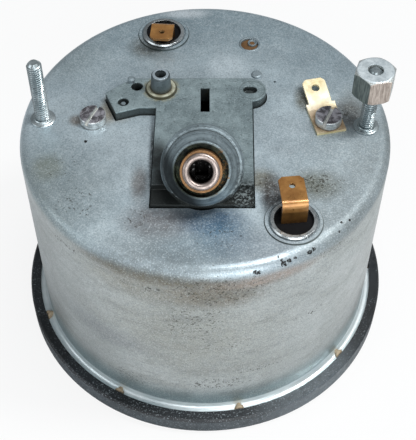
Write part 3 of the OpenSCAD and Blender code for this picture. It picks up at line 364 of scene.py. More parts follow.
def zinc_case():
    """Zinc plated can: bluish back painted darker towards its far side as shade, warmer wall with a painted
    reflection at its foot, fine grain, specks, the stains of its past, and painted shadows and shade from
    the tint table.
    """
    f = Finish("zinc_case", 0.62, 0.44)
    side = f.remap(f.place("Z"), BACK_Z - 1.4 * MM, BACK_Z - 4.5 * MM)
    cloud = f.remap(f.noise(60, 5, 0.62, distortion=0.5), 0.32, 0.68)
    # Painted shade: the back darker towards its far side
    far = f.remap(f.place("Y"), -5 * MM, 48 * MM)
    back_tone = f.mix(cloud, srgb(160, 175, 183), srgb(180, 194, 201))
    back_tone = f.mix(far, back_tone, f.mix(cloud, srgb(130, 148, 157), srgb(148, 165, 173)))
    side_tone = f.mix(cloud, srgb(164, 168, 166), srgb(178, 183, 182))
    # Painted reflection of the bezel and floor: the wall bluer and darker towards its foot
    low = f.remap(f.place("Z"), 17 * MM, 9 * MM)
    side_tone = f.mix(f.times(low, 0.85), side_tone, srgb(126, 148, 153))
    tone = f.mix(side, back_tone, side_tone)
    # Stains, and the painted shade and shadows, from the table
    for centre, radius, squash, stain_and_shade, strength in CASE_TINTS:
        tone = f.mix(f.times(f.spot(centre, radius, squash, 0.35, 500), strength), tone, srgb(*stain_and_shade))
    smeared = f.remap(f.noise(1.0, 6, 0.68, f.wall_vector(70, 260), 0.6), 0.46, 0.66)
    tone = f.mix(f.times(smeared, side, 0.38), tone, srgb(122, 124, 118))
    brushed = f.remap(f.noise(1.0, 5, 0.7, f.wall_vector(600, 2400)), 0.46, 0.68)
    tone = f.mix(f.times(brushed, side, 0.34), tone, srgb(110, 114, 112))
    mottled = f.remap(f.noise(520, 6, 0.78), 0.40, 0.66)
    tone = f.mix(f.times(mottled, 0.20), tone, srgb(112, 124, 130))
    from_middle = f.math("SUBTRACT", f.noise(110, 6, 0.7, distortion=1.2), 0.5)
    vein = f.remap(f.math("ABSOLUTE", from_middle), 0.03, 0.0)
    tone = f.mix(f.times(vein, far, 0.30), tone, srgb(188, 200, 206))
    grain = f.noise(2700, 2, 0.6)
    tone = f.mix(f.times(f.remap(grain, 0.50, 0.68), 0.40), tone, srgb(98, 107, 111))
    tone = f.mix(f.times(f.remap(grain, 0.48, 0.30), 0.32), tone, srgb(214, 221, 224))
    crowd = 0.0
    for centre, radius, squash, density in CASE_SPECKS:
        crowd = f.math("MAXIMUM", f.times(f.spot(centre, radius, squash, 0.2, 500), density), crowd)
    speck = f.remap(f.math("ADD", f.noise(1500, 3, 0.62), f.times(crowd, 0.16)), 0.70, 0.76)
    tone = f.mix(f.times(speck, 0.8), tone, srgb(56, 55, 49))
    for centre, radius, squash in CASE_CHIPS:
        chip = f.remap(f.spot(centre, 1.15 * radius, squash, 0.8, 1800), 0.12, 0.3)
        tone = f.mix(chip, tone, srgb(24, 23, 22))
    for lamp in LAMP_AT:
        round_lamp = f.off_axis((lamp[0] * MM, lamp[1] * MM, 0.0), UP)
        line = f.band(round_lamp, LAMP_RING_R - 0.08 * MM, LAMP_RING_R + 0.16 * MM, 0.06 * MM)
        tone = f.mix(f.times(line, 0.75), tone, srgb(52, 60, 56))
    flange = f.remap(f.place("Z"), BEZEL_BACK + 1.5 * MM, BEZEL_BACK + 0.7 * MM)
    tone = f.mix(f.times(flange, 0.9), tone, f.mix(cloud, srgb(204, 216, 220), srgb(230, 238, 240)))
    f.colour(tone)
    dull = f.spot((44, -22, 67), 44, (0.9, 0.8, 2), 0.2)
    grimy = f.spot((-16, -46, 68), 30, (0.9, 1, 2), 0.2)
    gloss = f.remap(f.noise(140, 5, 0.65), 0.3, 0.7, 0.28, 0.44)
    f.rough(f.math("ADD", gloss, f.times(f.math("MAXIMUM", dull, grimy), 0.24)))
    f.bump(f.noise(900, 6, 0.7), 0.10)
    f.bump(f.noise(60, 3, 0.5), 0.10, 0.5 * MM)
    return f.material


def zinc_casting():
    """Die-cast zinc: dull grey plate, turned barrel end and greasy recess; painted shade on the plate's
    lower part, lower ledge and sides (the dark lower edge), and painted shadows left of the barrel and on
    its face.
    """
    f = Finish("zinc_casting", 0.6, 0.5, edge=0.3 * MM)
    cloud = f.remap(f.noise(130, 5, 0.65), 0.3, 0.7)
    tone = f.mix(cloud, srgb(102, 116, 120), srgb(133, 148, 152))
    off = f.off_axis(BARREL_POINT, BARREL_AXIS)
    out = f.along_axis(BARREL_POINT, BARREL_AXIS)
    plate = f.remap(f.place("Z"), PLATE_TOP + 0.6 * MM, PLATE_TOP + 0.2 * MM)
    # Painted shade with some stain: the plate darker towards its front edge
    low = f.times(f.remap(f.place("Y"), -16 * MM, -25 * MM), plate)
    tone = f.mix(f.times(low, 0.8), tone, srgb(50, 55, 56))
    # Painted shade on the lower ledge below the plate's step
    step = f.remap(f.place("Y"), (PLATE_STEP_Y + 0.2) * MM, (PLATE_STEP_Y - 0.2) * MM)
    tone = f.mix(f.times(step, plate, 0.85), tone, srgb(34, 38, 39))
    speck = f.remap(f.noise(1300, 4, 0.65), 0.56, 0.68)
    tone = f.mix(f.times(speck, 0.6), tone, srgb(62, 70, 70))
    grain = f.remap(f.noise(2600, 2, 0.6), 0.48, 0.30)
    tone = f.mix(f.times(grain, 0.35), tone, srgb(178, 190, 194))
    spotface = f.times(f.band(f.off_axis(SPOTFACE, UP), 3.2 * MM, 3.5 * MM, 0.12 * MM), plate)
    tone = f.mix(f.times(spotface, 0.5), tone, srgb(76, 86, 88))
    # Painted shade on the plate's side faces
    side = f.remap(f.place("Z"), PLATE_TOP - 0.15 * MM, PLATE_TOP - 0.45 * MM)
    tone = f.mix(f.times(side, 0.85), tone, srgb(40, 44, 43))
    turned_end = f.times(f.remap(out, 25 * MM, 27 * MM), f.remap(off, 12.4 * MM, 12 * MM),
                         f.remap(f.place("Z"), PLATE_TOP + 0.3 * MM, PLATE_TOP + 0.8 * MM))
    rings = f.remap(f.noise(1.0, 2, 0.5, f.ring_vector(off, 900)), 0.46, 0.60)
    tone = f.mix(f.times(turned_end, 0.8), tone, f.mix(cloud, srgb(90, 102, 108), srgb(124, 138, 145)))
    grooves = f.remap(f.noise(1.0, 3, 0.6, f.ring_vector(off, 3100)), 0.52, 0.62)
    tone = f.mix(f.times(turned_end, grooves, 0.5), tone, srgb(48, 55, 58))
    tone = f.mix(f.times(turned_end, rings, 0.5), tone, srgb(158, 172, 178))
    scuffed = f.remap(f.noise(900, 6, 0.75), 0.50, 0.64)
    tone = f.mix(f.times(turned_end, scuffed, 0.6), tone, srgb(52, 60, 63))
    lower_left = f.along_axis(BARREL_POINT, LOWER_LEFT)
    shaded = f.times(f.remap(lower_left, 3.5 * MM, 7 * MM), f.remap(off, 11 * MM, 9.3 * MM), turned_end)
    tone = f.mix(f.times(shaded, 0.9), tone, srgb(24, 27, 28))
    foot = f.times(f.band(off, 8.95 * MM, 9.2 * MM, 0.05 * MM), f.band(out, 29.4 * MM, 30.4 * MM))
    seam = f.band(f.place("X"), -0.45 * MM, -0.25 * MM, 0.04 * MM)
    parting = f.times(seam, f.band(out, 27.8 * MM, 29.8 * MM), f.remap(off, 10 * MM, 10.5 * MM),
                      f.remap(f.place("Y"), -16 * MM, -14 * MM))
    tone = f.mix(f.times(f.math("MAXIMUM", foot, parting), 0.8), tone, srgb(56, 64, 66))
    # Painted shadow of the barrel on the plate, left of it, over some stain
    shade = f.spot((-9.6, -20.0, PLATE_MM), 8.5, (1.2, 0.75, 0.3), 0.2, 500)
    beside = f.spot((-12.2, -14.5, PLATE_MM), 6.5, (1.3, 0.75, 0.3), 0.2, 500)
    tone = f.mix(f.times(f.math("MAXIMUM", shade, beside), plate, 0.95), tone, srgb(26, 29, 29))
    grease = f.times(f.remap(off, 7.0 * MM, 6.3 * MM), f.remap(out, 29 * MM, 31 * MM))
    old_oil = f.mix(f.remap(f.noise(600, 4, 0.6), 0.42, 0.62), srgb(22, 28, 25), srgb(52, 58, 44))
    tone = f.mix(grease, tone, old_oil)
    crust = f.times(f.band(off, 5.0 * MM, 6.9 * MM), f.remap(out, 30 * MM, 32 * MM),
                    f.remap(f.place("X"), 1.5 * MM, 4.5 * MM), f.remap(f.noise(900, 4, 0.7), 0.5, 0.6))
    tone = f.mix(f.times(crust, 0.8), tone, srgb(112, 84, 44))
    patch = f.spot((9.9, -26.0, BACK_MM + 1), 5.2, (1, 1, 0.3), 0.3, 900)
    grit = f.remap(f.noise(1500, 3, 0.6), 0.45, 0.6)
    tone = f.mix(f.times(patch, 0.9), tone, f.mix(grit, srgb(24, 28, 28), srgb(118, 128, 130)))
    from_reset = f.off_axis(*RESET_AXIS)
    oily = f.times(f.remap(from_reset, RESET_RING_R + 1.5 * MM, RESET_RING_R + 0.2 * MM), plate,
                   f.remap(f.noise(700, 5, 0.7), 0.35, 0.6))
    tone = f.mix(f.times(oily, 0.6), tone, srgb(150, 146, 116))
    gap = f.times(f.remap(from_reset, RESET_RING_R + 0.4 * MM, RESET_RING_R + 0.15 * MM), plate)
    tone = f.mix(f.times(gap, 0.85), tone, srgb(52, 48, 28))
    f.colour(tone)
    f.uneven(500, 0.40, 0.60)
    # Lower specular level under the painted shadow on the barrel's face
    f.put(f.shader.inputs["Specular IOR Level"], f.remap(shaded, 0.0, 1.0, 0.5, 0.1))
    f.bump(f.noise(1500, 5, 0.7), 0.14)
    f.bump(f.times(patch, grit), 0.6, 0.4 * MM)
    f.bump(f.times(turned_end, rings), 0.25, 0.12 * MM)
    return f.material


def black_paint():
    """Satin black bezel paint: speckled on its back, plain and a little lighter on its wall, with a painted
    sheen on its front right.
    """
    f = Finish("black_paint", 0.0, 0.45, 0.35)
    cloud = f.remap(f.noise(70, 4, 0.6), 0.35, 0.65)
    tone = f.mix(cloud, srgb(14, 17, 20), srgb(26, 30, 34))
    wall = f.remap(f.place("Z"), BEZEL_BACK - 0.7 * MM, BEZEL_BACK - 1.3 * MM)
    tone = f.mix(wall, tone, f.mix(cloud, srgb(40, 46, 50), srgb(54, 61, 66)))
    speck = f.remap(f.noise(2300, 3, 0.6), 0.57, 0.66)
    patchy = f.remap(f.noise(110, 4, 0.6), 0.42, 0.6)
    front = f.remap(f.place("Y"), -14 * MM, -50 * MM)
    often = f.math("MAXIMUM", f.times(patchy, 0.6), f.times(front, 0.85))
    tone = f.mix(f.times(speck, often), tone, srgb(122, 130, 135))
    sheen = f.spot((30, -42, BEZEL_BACK / MM - 1), 22, (0.9, 0.9, 1), 0.4, 700)
    tone = f.mix(f.times(sheen, 0.42), tone, srgb(112, 121, 127))
    f.colour(tone)
    f.uneven(600, 0.36, 0.58)
    f.bump(f.noise(2600, 4, 0.6), 0.25)
    return f.material


def clear_glass(name):
    f = Finish(name, 0.0, 0.03)
    f.shader.inputs["Transmission Weight"].default_value = 1.0
    f.shader.inputs["IOR"].default_value = 1.5
    f.colour(f.mix(f.remap(f.noise(50, 3, 0.5), 0.4, 0.6), (0.93, 0.96, 0.96, 1), (0.97, 0.98, 0.98, 1)))
    f.rough(f.remap(f.noise(300, 4, 0.6), 0.4, 0.8, 0.02, 0.07))
    return f.material


def soft_surface(name, light, dark, roughness, grain=700, specular=0.5, dusty=45):
    """Dull plastic, rubber or paint with a fine uneven grain."""
    f = Finish(name, 0.0, roughness, specular)
    tone = f.mix(f.remap(f.noise(120, 4, 0.6), 0.35, 0.65), srgb(*dark), srgb(*light))
    dust = f.remap(f.noise(grain * 2, 4, 0.65), 0.6, 0.72)
    f.colour(f.mix(f.times(dust, 0.25), tone, srgb(*[min(255, c + dusty) for c in light])))
    f.uneven(grain, roughness - 0.08, roughness + 0.12)
    f.bump(f.noise(grain, 5, 0.6), 0.15)
    return f.material


def tan_ring():
    """Pale bush of the reset post, brown with old oil against the post and in the gap round it."""
    f = Finish("tan_bush", 0.2, 0.5)
    off = f.off_axis(*RESET_AXIS)
    tone = f.mix(f.remap(f.noise(500, 5, 0.65), 0.35, 0.65), srgb(130, 130, 112), srgb(170, 172, 156))
    oil = f.remap(f.math("ADD", off, f.times(f.noise(400, 4, 0.6), 0.6 * MM)), 3.7 * MM, 3.1 * MM)
    tone = f.mix(f.times(oil, 0.85), tone, srgb(58, 48, 28))
    gap = f.remap(off, RESET_RING_R - 0.3 * MM, RESET_RING_R - 0.1 * MM)
    tone = f.mix(f.times(gap, 0.85), tone, srgb(50, 46, 24))
    f.colour(tone)
    f.uneven(700, 0.36, 0.56)
    f.bump(f.noise(900, 5, 0.6), 0.15)
    return f.material


def reset_steel():
    """Dull dark post with a paler, turned end face and an oily foot."""
    f = metal("reset_steel", (112, 122, 126), (78, 88, 90), 0.42, 0.75, specks=0.5)
    plain = f.base()
    oil = f.remap(f.place("Z"), PLATE_TOP + 2.2 * MM, PLATE_TOP + 0.4 * MM)
    tone = f.mix(f.times(oil, 0.7), plain, srgb(56, 50, 34))
    lip = f.band(f.place("Z"), RESET_TOP - 0.5 * MM, RESET_TOP - 0.12 * MM, 0.06 * MM)
    tone = f.mix(f.times(lip, 0.6), tone, srgb(48, 56, 60))
    face = f.remap(f.place("Z"), RESET_TOP - 0.12 * MM, RESET_TOP - 0.04 * MM)
    f.colour(f.mix(face, tone, srgb(158, 170, 178)))
    return f.material


# Flats of the nut painted in other tones: direction in degrees, dark and light colour; the grey-green one
# at 222 degrees is painted shade on the flat turned from the light
NUT_FLATS = (
    (222, (74, 84, 82), (112, 122, 118)),
    (282, (142, 128, 118), (190, 176, 165)),
)


def nut_metal():
    """Zinc nut: pale bluish end, a grey-green flat painted darker as shade and a pinkish flat, drawn
    lengthwise.
    """
    f = Finish("nut_zinc", 0.55, 0.42, edge=0.25 * MM)
    middle = (NUT_AT[0] * MM, NUT_AT[1] * MM, 0.0)
    drawn = f.remap(f.noise(1.0, 5, 0.65, f.stretched((2600, 2600, 260))), 0.38, 0.62)
    tone = f.mix(drawn, srgb(138, 144, 144), srgb(174, 178, 177))
    for turn, dark, light in NUT_FLATS:
        facing = (math.cos(math.radians(turn)), math.sin(math.radians(turn)), 0)
        flat = f.remap(f.along_axis(middle, facing), (NUT_HALF - 0.2) * MM, (NUT_HALF - 0.05) * MM)
        tone = f.mix(f.times(flat, 0.9), tone, f.mix(drawn, srgb(*dark), srgb(*light)))
    end = f.remap(f.place("Z"), NUT_TOP - 0.25 * MM, NUT_TOP - 0.1 * MM)
    cloud = f.remap(f.noise(500, 5), 0.35, 0.65)
    tone = f.mix(end, tone, f.mix(cloud, srgb(160, 170, 175), srgb(192, 201, 205)))
    f.colour(tone)
    f.uneven(600, 0.34, 0.52)
    f.bump(drawn, 0.2, 0.1 * MM)
    return f.material


def screw_metal():
    """Plated cheese-head screws: stained flat end, bright rim, paler wall, a painted highlight on the
    slot's floor and a darker foot.
    """
    f = Finish("screw_steel", 0.7, 0.36, edge=0.05 * MM)
    lift = f.times(f.remap(f.place("X"), -1 * MM, 1 * MM), TAB_T * MM)
    level = f.math("SUBTRACT", f.math("SUBTRACT", f.place("Z"), lift), BACK_Z)
    cloud = f.remap(f.noise(420, 5, 0.7, distortion=0.8), 0.40, 0.60)
    end = f.remap(level, (SCREW_HEAD_H - 0.12) * MM, (SCREW_HEAD_H - 0.05) * MM)
    wall = f.mix(cloud, srgb(150, 156, 158), srgb(196, 201, 203))
    tone = f.mix(end, wall, f.mix(cloud, srgb(78, 76, 80), srgb(158, 157, 164)))
    slot_floor = SCREW_HEAD_H - SCREW_SLOT_D
    # Painted highlight: the slot's floor made pale as if lit
    floor = f.band(level, (slot_floor - 0.06) * MM, (slot_floor + 0.06) * MM, 0.02 * MM)
    tone = f.mix(f.times(floor, 0.7), tone, srgb(214, 214, 208))
    foot = f.remap(level, 0.45 * MM, 0.1 * MM)
    tone = f.mix(f.times(foot, 0.7), tone, srgb(58, 54, 44))
    speck = f.remap(f.noise(2200, 3, 0.6), 0.60, 0.70)
    f.colour(f.mix(f.times(speck, 0.5), tone, srgb(54, 52, 54)))
    f.uneven(700, 0.28, 0.48)
    f.bump(f.noise(900, 6, 0.65), 0.25)
    return f.material


def blade_metal():
    """Bronze lamp blades: brown flat tab, worn bright bend and a root painted dark as shade under the bend.
    """
    f = Finish("blade_bronze", 0.6, 0.36, edge=0.12 * MM)
    f.shader.inputs["Coat Weight"].default_value = 0.5
    f.shader.inputs["Coat Roughness"].default_value = 0.22
    cloud = f.remap(f.noise(260, 5, 0.65), 0.35, 0.65)
    tone = f.mix(cloud, srgb(138, 94, 44), srgb(166, 120, 64))
    # Painted shade: the leg below the bend darker
    root = f.remap(f.place("Z"), BACK_Z + 4.6 * MM, BACK_Z + 3.6 * MM)
    tone = f.mix(f.times(root, 0.85), tone, f.mix(cloud, srgb(58, 38, 14), srgb(92, 64, 28)))
    speck = f.remap(f.noise(1700, 4, 0.65), 0.62, 0.72)
    f.colour(f.mix(f.times(speck, 0.3), tone, srgb(92, 58, 22)))
    f.uneven(500, 0.26, 0.42)
    f.bump(f.noise(800, 5, 0.6), 0.10)
    return f.material


def tab_brass():
    """Bright brass tab, browner round its screw and duller at its end."""
    f = Finish("terminal_brass", 0.5, 0.34, edge=0.15 * MM)
    cloud = f.remap(f.noise(300, 5, 0.65), 0.35, 0.65)
    tone = f.mix(cloud, srgb(246, 234, 196), srgb(254, 248, 226))
    worn = f.spot((TAB_END[0], TAB_END[1], PLATE_MM), 5.5, (1, 1, 1), 0.45, 700)
    tone = f.mix(f.times(worn, 0.75), tone, srgb(196, 176, 128))
    brown = f.spot((SCREW_RIGHT[0], SCREW_RIGHT[1], BACK_MM + 0.8), 9.5, (1, 1, 1.5), 0.3, 700)
    tone = f.mix(f.times(brown, 0.95), tone, f.mix(cloud, srgb(92, 56, 22), srgb(146, 104, 54)))
    rim = f.remap(f.place("Z"), BACK_Z + 0.72 * MM, BACK_Z + 0.55 * MM)
    tone = f.mix(f.times(rim, 0.5), tone, srgb(226, 214, 160))
    f.colour(tone)
    f.uneven(500, 0.28, 0.46)
    f.bump(f.noise(700, 5, 0.6), 0.10)
    return f.material


screw_steel = screw_metal()
stud_plate = metal("stud_plate", (186, 195, 198), (140, 152, 156), 0.30, 0.9, 0.3, 0.04 * MM).material
plated = metal("plated_bright", (196, 202, 204), (150, 156, 158), 0.30).material
turned = metal("turned_steel", (202, 198, 194), (150, 144, 138), 0.22).material
gear_brass = metal("gear_brass", (206, 176, 110), (164, 130, 70), 0.32).material
bush_bronze = metal("bush_bronze", (130, 97, 64), (88, 65, 42), 0.48, 0.75, 0.6, 0.2 * MM).material
blade_bronze = blade_metal()
light_alloy = metal("light_alloy", (205, 207, 208), (168, 170, 172), 0.35).material
magnet_grey = metal("magnet_grey", (96, 98, 102), (62, 64, 68), 0.5).material
rivet_grey = metal("rivet_grey", (118, 130, 136), (84, 95, 100), 0.5, 0.5, specks=0.4).material
seal_tan = soft_surface("seal_tan", (150, 136, 114), (96, 82, 64), 0.75, 1600)
rubber_black = soft_surface("rubber_black", (40, 40, 40), (24, 24, 24), 0.7)
phenolic = soft_surface("phenolic", (16, 16, 18), (6, 6, 7), 0.5, 900, 0.08, 40)
ring_white = soft_surface("ring_white", (214, 212, 204), (190, 188, 178), 0.55)
dial_black = soft_surface("dial_black", (24, 24, 26), (14, 14, 15), 0.6, 1500)
print_white = soft_surface("print_white", (236, 234, 224), (212, 208, 196), 0.55)
pointer_red = soft_surface("pointer_red", (226, 92, 32), (200, 70, 22), 0.42)
hub_black = soft_surface("hub_black", (30, 30, 31), (20, 20, 21), 0.3)
drum_black = soft_surface("drum_black", (30, 30, 31), (20, 20, 21), 0.55)

dress(zinc_case(), "rear_case")
dress(zinc_casting(), "movement_frame")
dress(black_paint(), "bezel_ring")
dress(clear_glass("front_glass"), "glass")
dress(clear_glass("bulb_glass"), "lamp_bulb_near", "lamp_bulb_far")
dress(plated, "mounting_studs", "dial_screws", "stop_pin", "bridge_screws", "lamp_socket_near",
      "lamp_socket_far")
dress(screw_steel, "case_screws")
dress(rivet_grey, "frame_pins", "case_rivet")
dress(nut_metal(), "long_nut")
dress(turned, "drive_shaft", "magnet_shaft", "cross_shaft", "counter_shaft", "odometer_axle", "trip_axle",
      "pointer_spindle", "field_cup")
dress(reset_steel(), "reset_spindle")
dress(gear_brass, "magnet_bevel", "drive_worm", "drive_bevel", "cross_wheel", "cross_worm", "counter_wheel",
      "counter_bevel", "drum_bevel", "reset_bevel", "trip_bevel", "hairspring", "front_bridge")
dress(bush_bronze, "drive_bush", "case_plug")
dress(blade_bronze, "lamp_blade_near", "lamp_blade_far")
dress(tab_brass(), "ground_terminal")
dress(light_alloy, "speed_cup")
dress(magnet_grey, "magnet")
dress(tan_ring(), "reset_bush")
dress(seal_tan, "case_seal")
dress(rubber_black, "glass_seal")
dress(phenolic, "lamp_insulator_near", "lamp_insulator_far")
dress(ring_white, "light_ring")
dress(dial_black, "dial")
dress(pointer_red, "pointer")
dress(hub_black, "pointer_cap")
DRUMS = range(1, 6)
dress(drum_black, "trip_drums", *[f"odometer_drum_{i}" for i in DRUMS])


def add_piece(name, shape, material, body, sharp=40):
    """Make a mesh piece from (vertices in millimetres, faces) that rides on a body."""
    verts, faces = shape
    mesh = bpy.data.meshes.new(name)
    mesh.from_pydata([Vector(v) * MM for v in verts], [], faces)
    mesh.shade_smooth()
    mesh.set_sharp_from_angle(angle=math.radians(sharp))
    mesh.materials.append(material)
    piece = bpy.data.objects.new(name, mesh)
    bpy.context.scene.collection.objects.link(piece)
    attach(piece, body)
    return piece


def joined(*shapes):
    """One shape from several."""
    verts, faces = [], []
    for part_verts, part_faces in shapes:
        start = len(verts)
        verts.extend(part_verts)
        faces.extend([tuple(i + start for i in face) for face in part_faces])
    return verts, faces


def rings_shape(rings, loop=False):
    """Skin over rings of as many points each: closed at both ends, or run back to the start."""
    count, rows = len(rings[0]), len(rings)
    verts = [point for ring in rings for point in ring]
    faces = []
    for row in range(rows if loop else rows - 1):
        for k in range(count):
            a, b = row * count + k, row * count + (k + 1) % count
            above = (row + 1) % rows * count - row * count
            faces.append((a, b, b + above, a + above))
    if not loop:
        faces.append(tuple(reversed(range(count))))
        faces.append(tuple(range((rows - 1) * count, rows * count)))
    return verts, faces


def circle_points(centre, radius, z, segments, radius_at=None):
    points = []
    for k in range(segments):
        turn = 2 * math.pi * k / segments
        r = radius_at(turn) if radius_at else radius
        points.append((centre[0] + r * math.cos(turn), centre[1] + r * math.sin(turn), z))
    return points


THREAD_PITCH, THREAD_DEPTH, THREAD_STEPS = 0.7, 0.42, 8
STUD_SEGMENTS = 32
# Head inside the can and swaged collar on it: radius and height over the back, in millimetres
STUD_COLLAR = (
    (3.0, -2.5), (3.0, -1.0), (2.0, -1.0), (2.0, 0.0), (3.3, 0.0), (3.4, 0.12), (3.36, 0.32), (3.15, 0.5),
    (2.9, 0.56), (2.55, 0.58), (2.42, 0.66), (2.38, 0.85), (2.25, 0.98), (2.0, 1.0), (1.6, 0.98),
)
TIP_CUT, TIP_SLOPE = 0.85, 0.9


def threaded_stud(centre, crest, back, tip):
    """Stud with a swaged two-step collar, a cut thread up to its chamfered end, and its head inside."""
    rings = [circle_points(centre, r, back + z, STUD_SEGMENTS) for r, z in STUD_COLLAR]
    start = back + STUD_COLLAR[-1][1] + 0.05
    rows = int((tip - start) / (THREAD_PITCH / THREAD_STEPS))
    for row in range(rows + 1):
        z = start + (tip - start) * row / rows
        limit = min(crest, crest - TIP_CUT + (tip - z) * TIP_SLOPE)

        def radius_at(turn):
            phase = (z / THREAD_PITCH - turn / (2 * math.pi)) % 1.0
            tooth = min(1.0, max(0.0, 2.4 * abs(2 * phase - 1) - 0.55))
            return min(limit, crest - THREAD_DEPTH * (1 - tooth))
        rings.append(circle_points(centre, 0, z, STUD_SEGMENTS, radius_at))
    return rings_shape(rings)


stud_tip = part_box("mounting_studs")[1].z / MM
studs = add_piece("threaded_studs",
                  joined(*[threaded_stud(at, STUD_R, BACK_MM, stud_tip) for at in STUD_AT]),
                  stud_plate, "case", 30)
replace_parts(studs, "mounting_studs")


# Eyelet of the case plug and the stub in it: radius and height over the back, in millimetres
PLUG_AT, STUB_AT, PLUG_SEGMENTS, STUB_SEGMENTS = (12.6, 31.4), (13.45, 32.15), 40, 32
EYELET = ((2.42, -0.62), (2.42, -0.1), (2.5, 0.05), (2.68, 0.14), (2.9, 0.12), (3.05, 0.02), (3.05, -0.05),
          (2.6, -0.3))
STUB = ((1.3, -0.62), (1.3, -0.06), (1.22, 0.04), (1.06, 0.04), (0.96, -0.06), (0.9, -0.2), (0.3, -0.24))
eyelet = rings_shape([circle_points(PLUG_AT, r, BACK_MM + z, PLUG_SEGMENTS) for r, z in EYELET], True)
stub = rings_shape([circle_points(STUB_AT, r, BACK_MM + z, STUB_SEGMENTS) for r, z in STUB])
add_piece("plug_eyelet", joined(eyelet, stub), rivet_grey, "case", 40)


# Levels of a bead of compound: share of its width and of its height
LUMP_LEVELS = ((1.0, 0.0), (1.02, 0.35), (0.92, 0.62), (0.66, 0.86), (0.3, 0.98))
LUMP_SEGMENTS = 18


def lump(centre, size, turn, seed):
    """Uneven three-sided bead of old sealing compound that fills a notch of the flange."""
    rings = []
    for level, (wide, high) in enumerate(LUMP_LEVELS):
        ring = []
        for k in range(LUMP_SEGMENTS):
            a = 2 * math.pi * k / LUMP_SEGMENTS
            corner = 0.78 + 0.22 * math.cos(3 * a)
            uneven = 1 + 0.13 * math.sin(5 * a + seed + level) + 0.07 * math.sin(9 * a + 2.3 * seed)
            r = wide * corner * uneven
            x, y = r * math.cos(a) * size[0], r * math.sin(a) * size[1]
            ring.append((centre[0] + x * math.cos(turn) - y * math.sin(turn),
                         centre[1] + x * math.sin(turn) + y * math.cos(turn), centre[2] + high * size[2]))
        rings.append(ring)
    return rings_shape(rings)


# Drive end, in millimetres along and off the barrel's axis
DRIVE_END, DRIVE_BORE_R, DRIVE_FLOOR, DRIVE_SEGMENTS = 40.2, 2.8, 33.2, 48
LIP_R, LIP_H, LIP_STEPS = 4.5, 0.64, 10
SOCKET_HALF, SOCKET_DEPTH = 1.6, 8
DRIVE_OUTSIDE = ((2.0, 7.3), (2.0, 18.0), (4.2, 18.0), (4.2, 30.0), (4.2, 39.0),
                 (4.2, DRIVE_END - LIP_H - 0.01))


def drive_end():
    """Hollow steel drive end with a rolled lip, a deep bore and a square socket at its bottom."""
    profile = list(DRIVE_OUTSIDE)
    middle, half = (LIP_R + DRIVE_BORE_R) / 2, (LIP_R - DRIVE_BORE_R) / 2
    for k in range(LIP_STEPS + 1):
        a = math.pi * k / LIP_STEPS
        profile.append((middle + half * math.cos(a), DRIVE_END - LIP_H + LIP_H * math.sin(a)))
    profile += [(DRIVE_BORE_R, 36.0), (DRIVE_BORE_R, DRIVE_FLOOR)]
    rings = [circle_points((0, 0), r, s, DRIVE_SEGMENTS) for r, s in profile]

    def square(turn):
        return SOCKET_HALF / max(abs(math.cos(turn)), abs(math.sin(turn)))
    for s in (DRIVE_FLOOR, DRIVE_FLOOR - SOCKET_DEPTH):
        rings.append(circle_points((0, 0), 0, s, DRIVE_SEGMENTS, square))
    verts, faces = rings_shape(rings)
    place = Matrix.Translation(Vector(BARREL_POINT) / MM)
    place = place @ Matrix.Rotation(BARREL_YAW, 4, "Z") @ Matrix.Rotation(BARREL_TILT, 4, "X")
    return [tuple(place @ Vector(v)) for v in verts], faces


def drive_steel():
    """Worn pale steel with a bore that is black with old grease."""
    f = metal("drive_steel", (158, 147, 142), (112, 100, 95), 0.36, 0.9, specks=0.4)
    off = f.off_axis(BARREL_POINT, BARREL_AXIS)
    out = f.along_axis(BARREL_POINT, BARREL_AXIS)
    inside = f.times(f.remap(off, 3.05 * MM, 2.86 * MM), f.remap(out, 39.7 * MM, 39.2 * MM))
    clean = f.base()
    grease = f.mix(f.remap(f.noise(900), 0.5, 0.7), srgb(6, 5, 5), srgb(26, 21, 18))
    f.colour(f.mix(inside, clean, grease))
    f.put(f.shader.inputs["Metallic"], f.remap(inside, 0.0, 1.0, 0.9, 0.0))
    glints = f.times(inside, f.remap(f.noise(1300, 2), 0.62, 0.68))
    shine = f.math("ADD", f.remap(inside, 0.0, 1.0, 0.5, 0.04), glints)
    f.put(f.shader.inputs["Specular IOR Level"], shine)
    return f.material


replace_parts(add_piece("drive_end", drive_end(), drive_steel(), "drive", 35), "drive_shaft")

# Notches of the flange, in millimetres and degrees, and the compound in them
NOTCH_COUNT, NOTCH_START, NOTCH_INSET, NOTCH_FOOT = 9, -79, 2.0, 1.9
NOTCH_R = CASE_HIGH.x / MM - NOTCH_INSET
notch_fill = []
for i in range(NOTCH_COUNT):
    turn = math.radians(NOTCH_START + 360 * i / NOTCH_COUNT)
    at = (NOTCH_R * math.cos(turn), NOTCH_R * math.sin(turn), BEZEL_BACK / MM - NOTCH_FOOT)
    size = (1.55, 1.7, 2.1 + 0.25 * math.sin(3.0 * i))
    notch_fill.append(lump(at, size, turn + math.pi, 1.7 * i))
add_piece("notch_compound", joined(*notch_fill), seal_tan, "case", 50)


FONT_DIGIT_H = 0.69


def number_outline(words, height):
    """Filled outline of a short number, centred, as (vertices, faces) with a given height of its digits."""
    curve = bpy.data.curves.new("number", "FONT")
    curve.body = words
    curve.align_x, curve.align_y = "CENTER", "CENTER"
    curve.size = height / FONT_DIGIT_H
    curve.resolution_u = 4
    holder = bpy.data.objects.new("number", curve)
    mesh = bpy.data.meshes.new_from_object(holder)
    verts = [tuple(v.co) for v in mesh.vertices]
    faces = [tuple(face.vertices) for face in mesh.polygons]
    bpy.data.objects.remove(holder)
    bpy.data.curves.remove(curve)
    bpy.data.meshes.remove(mesh)
    return verts, faces


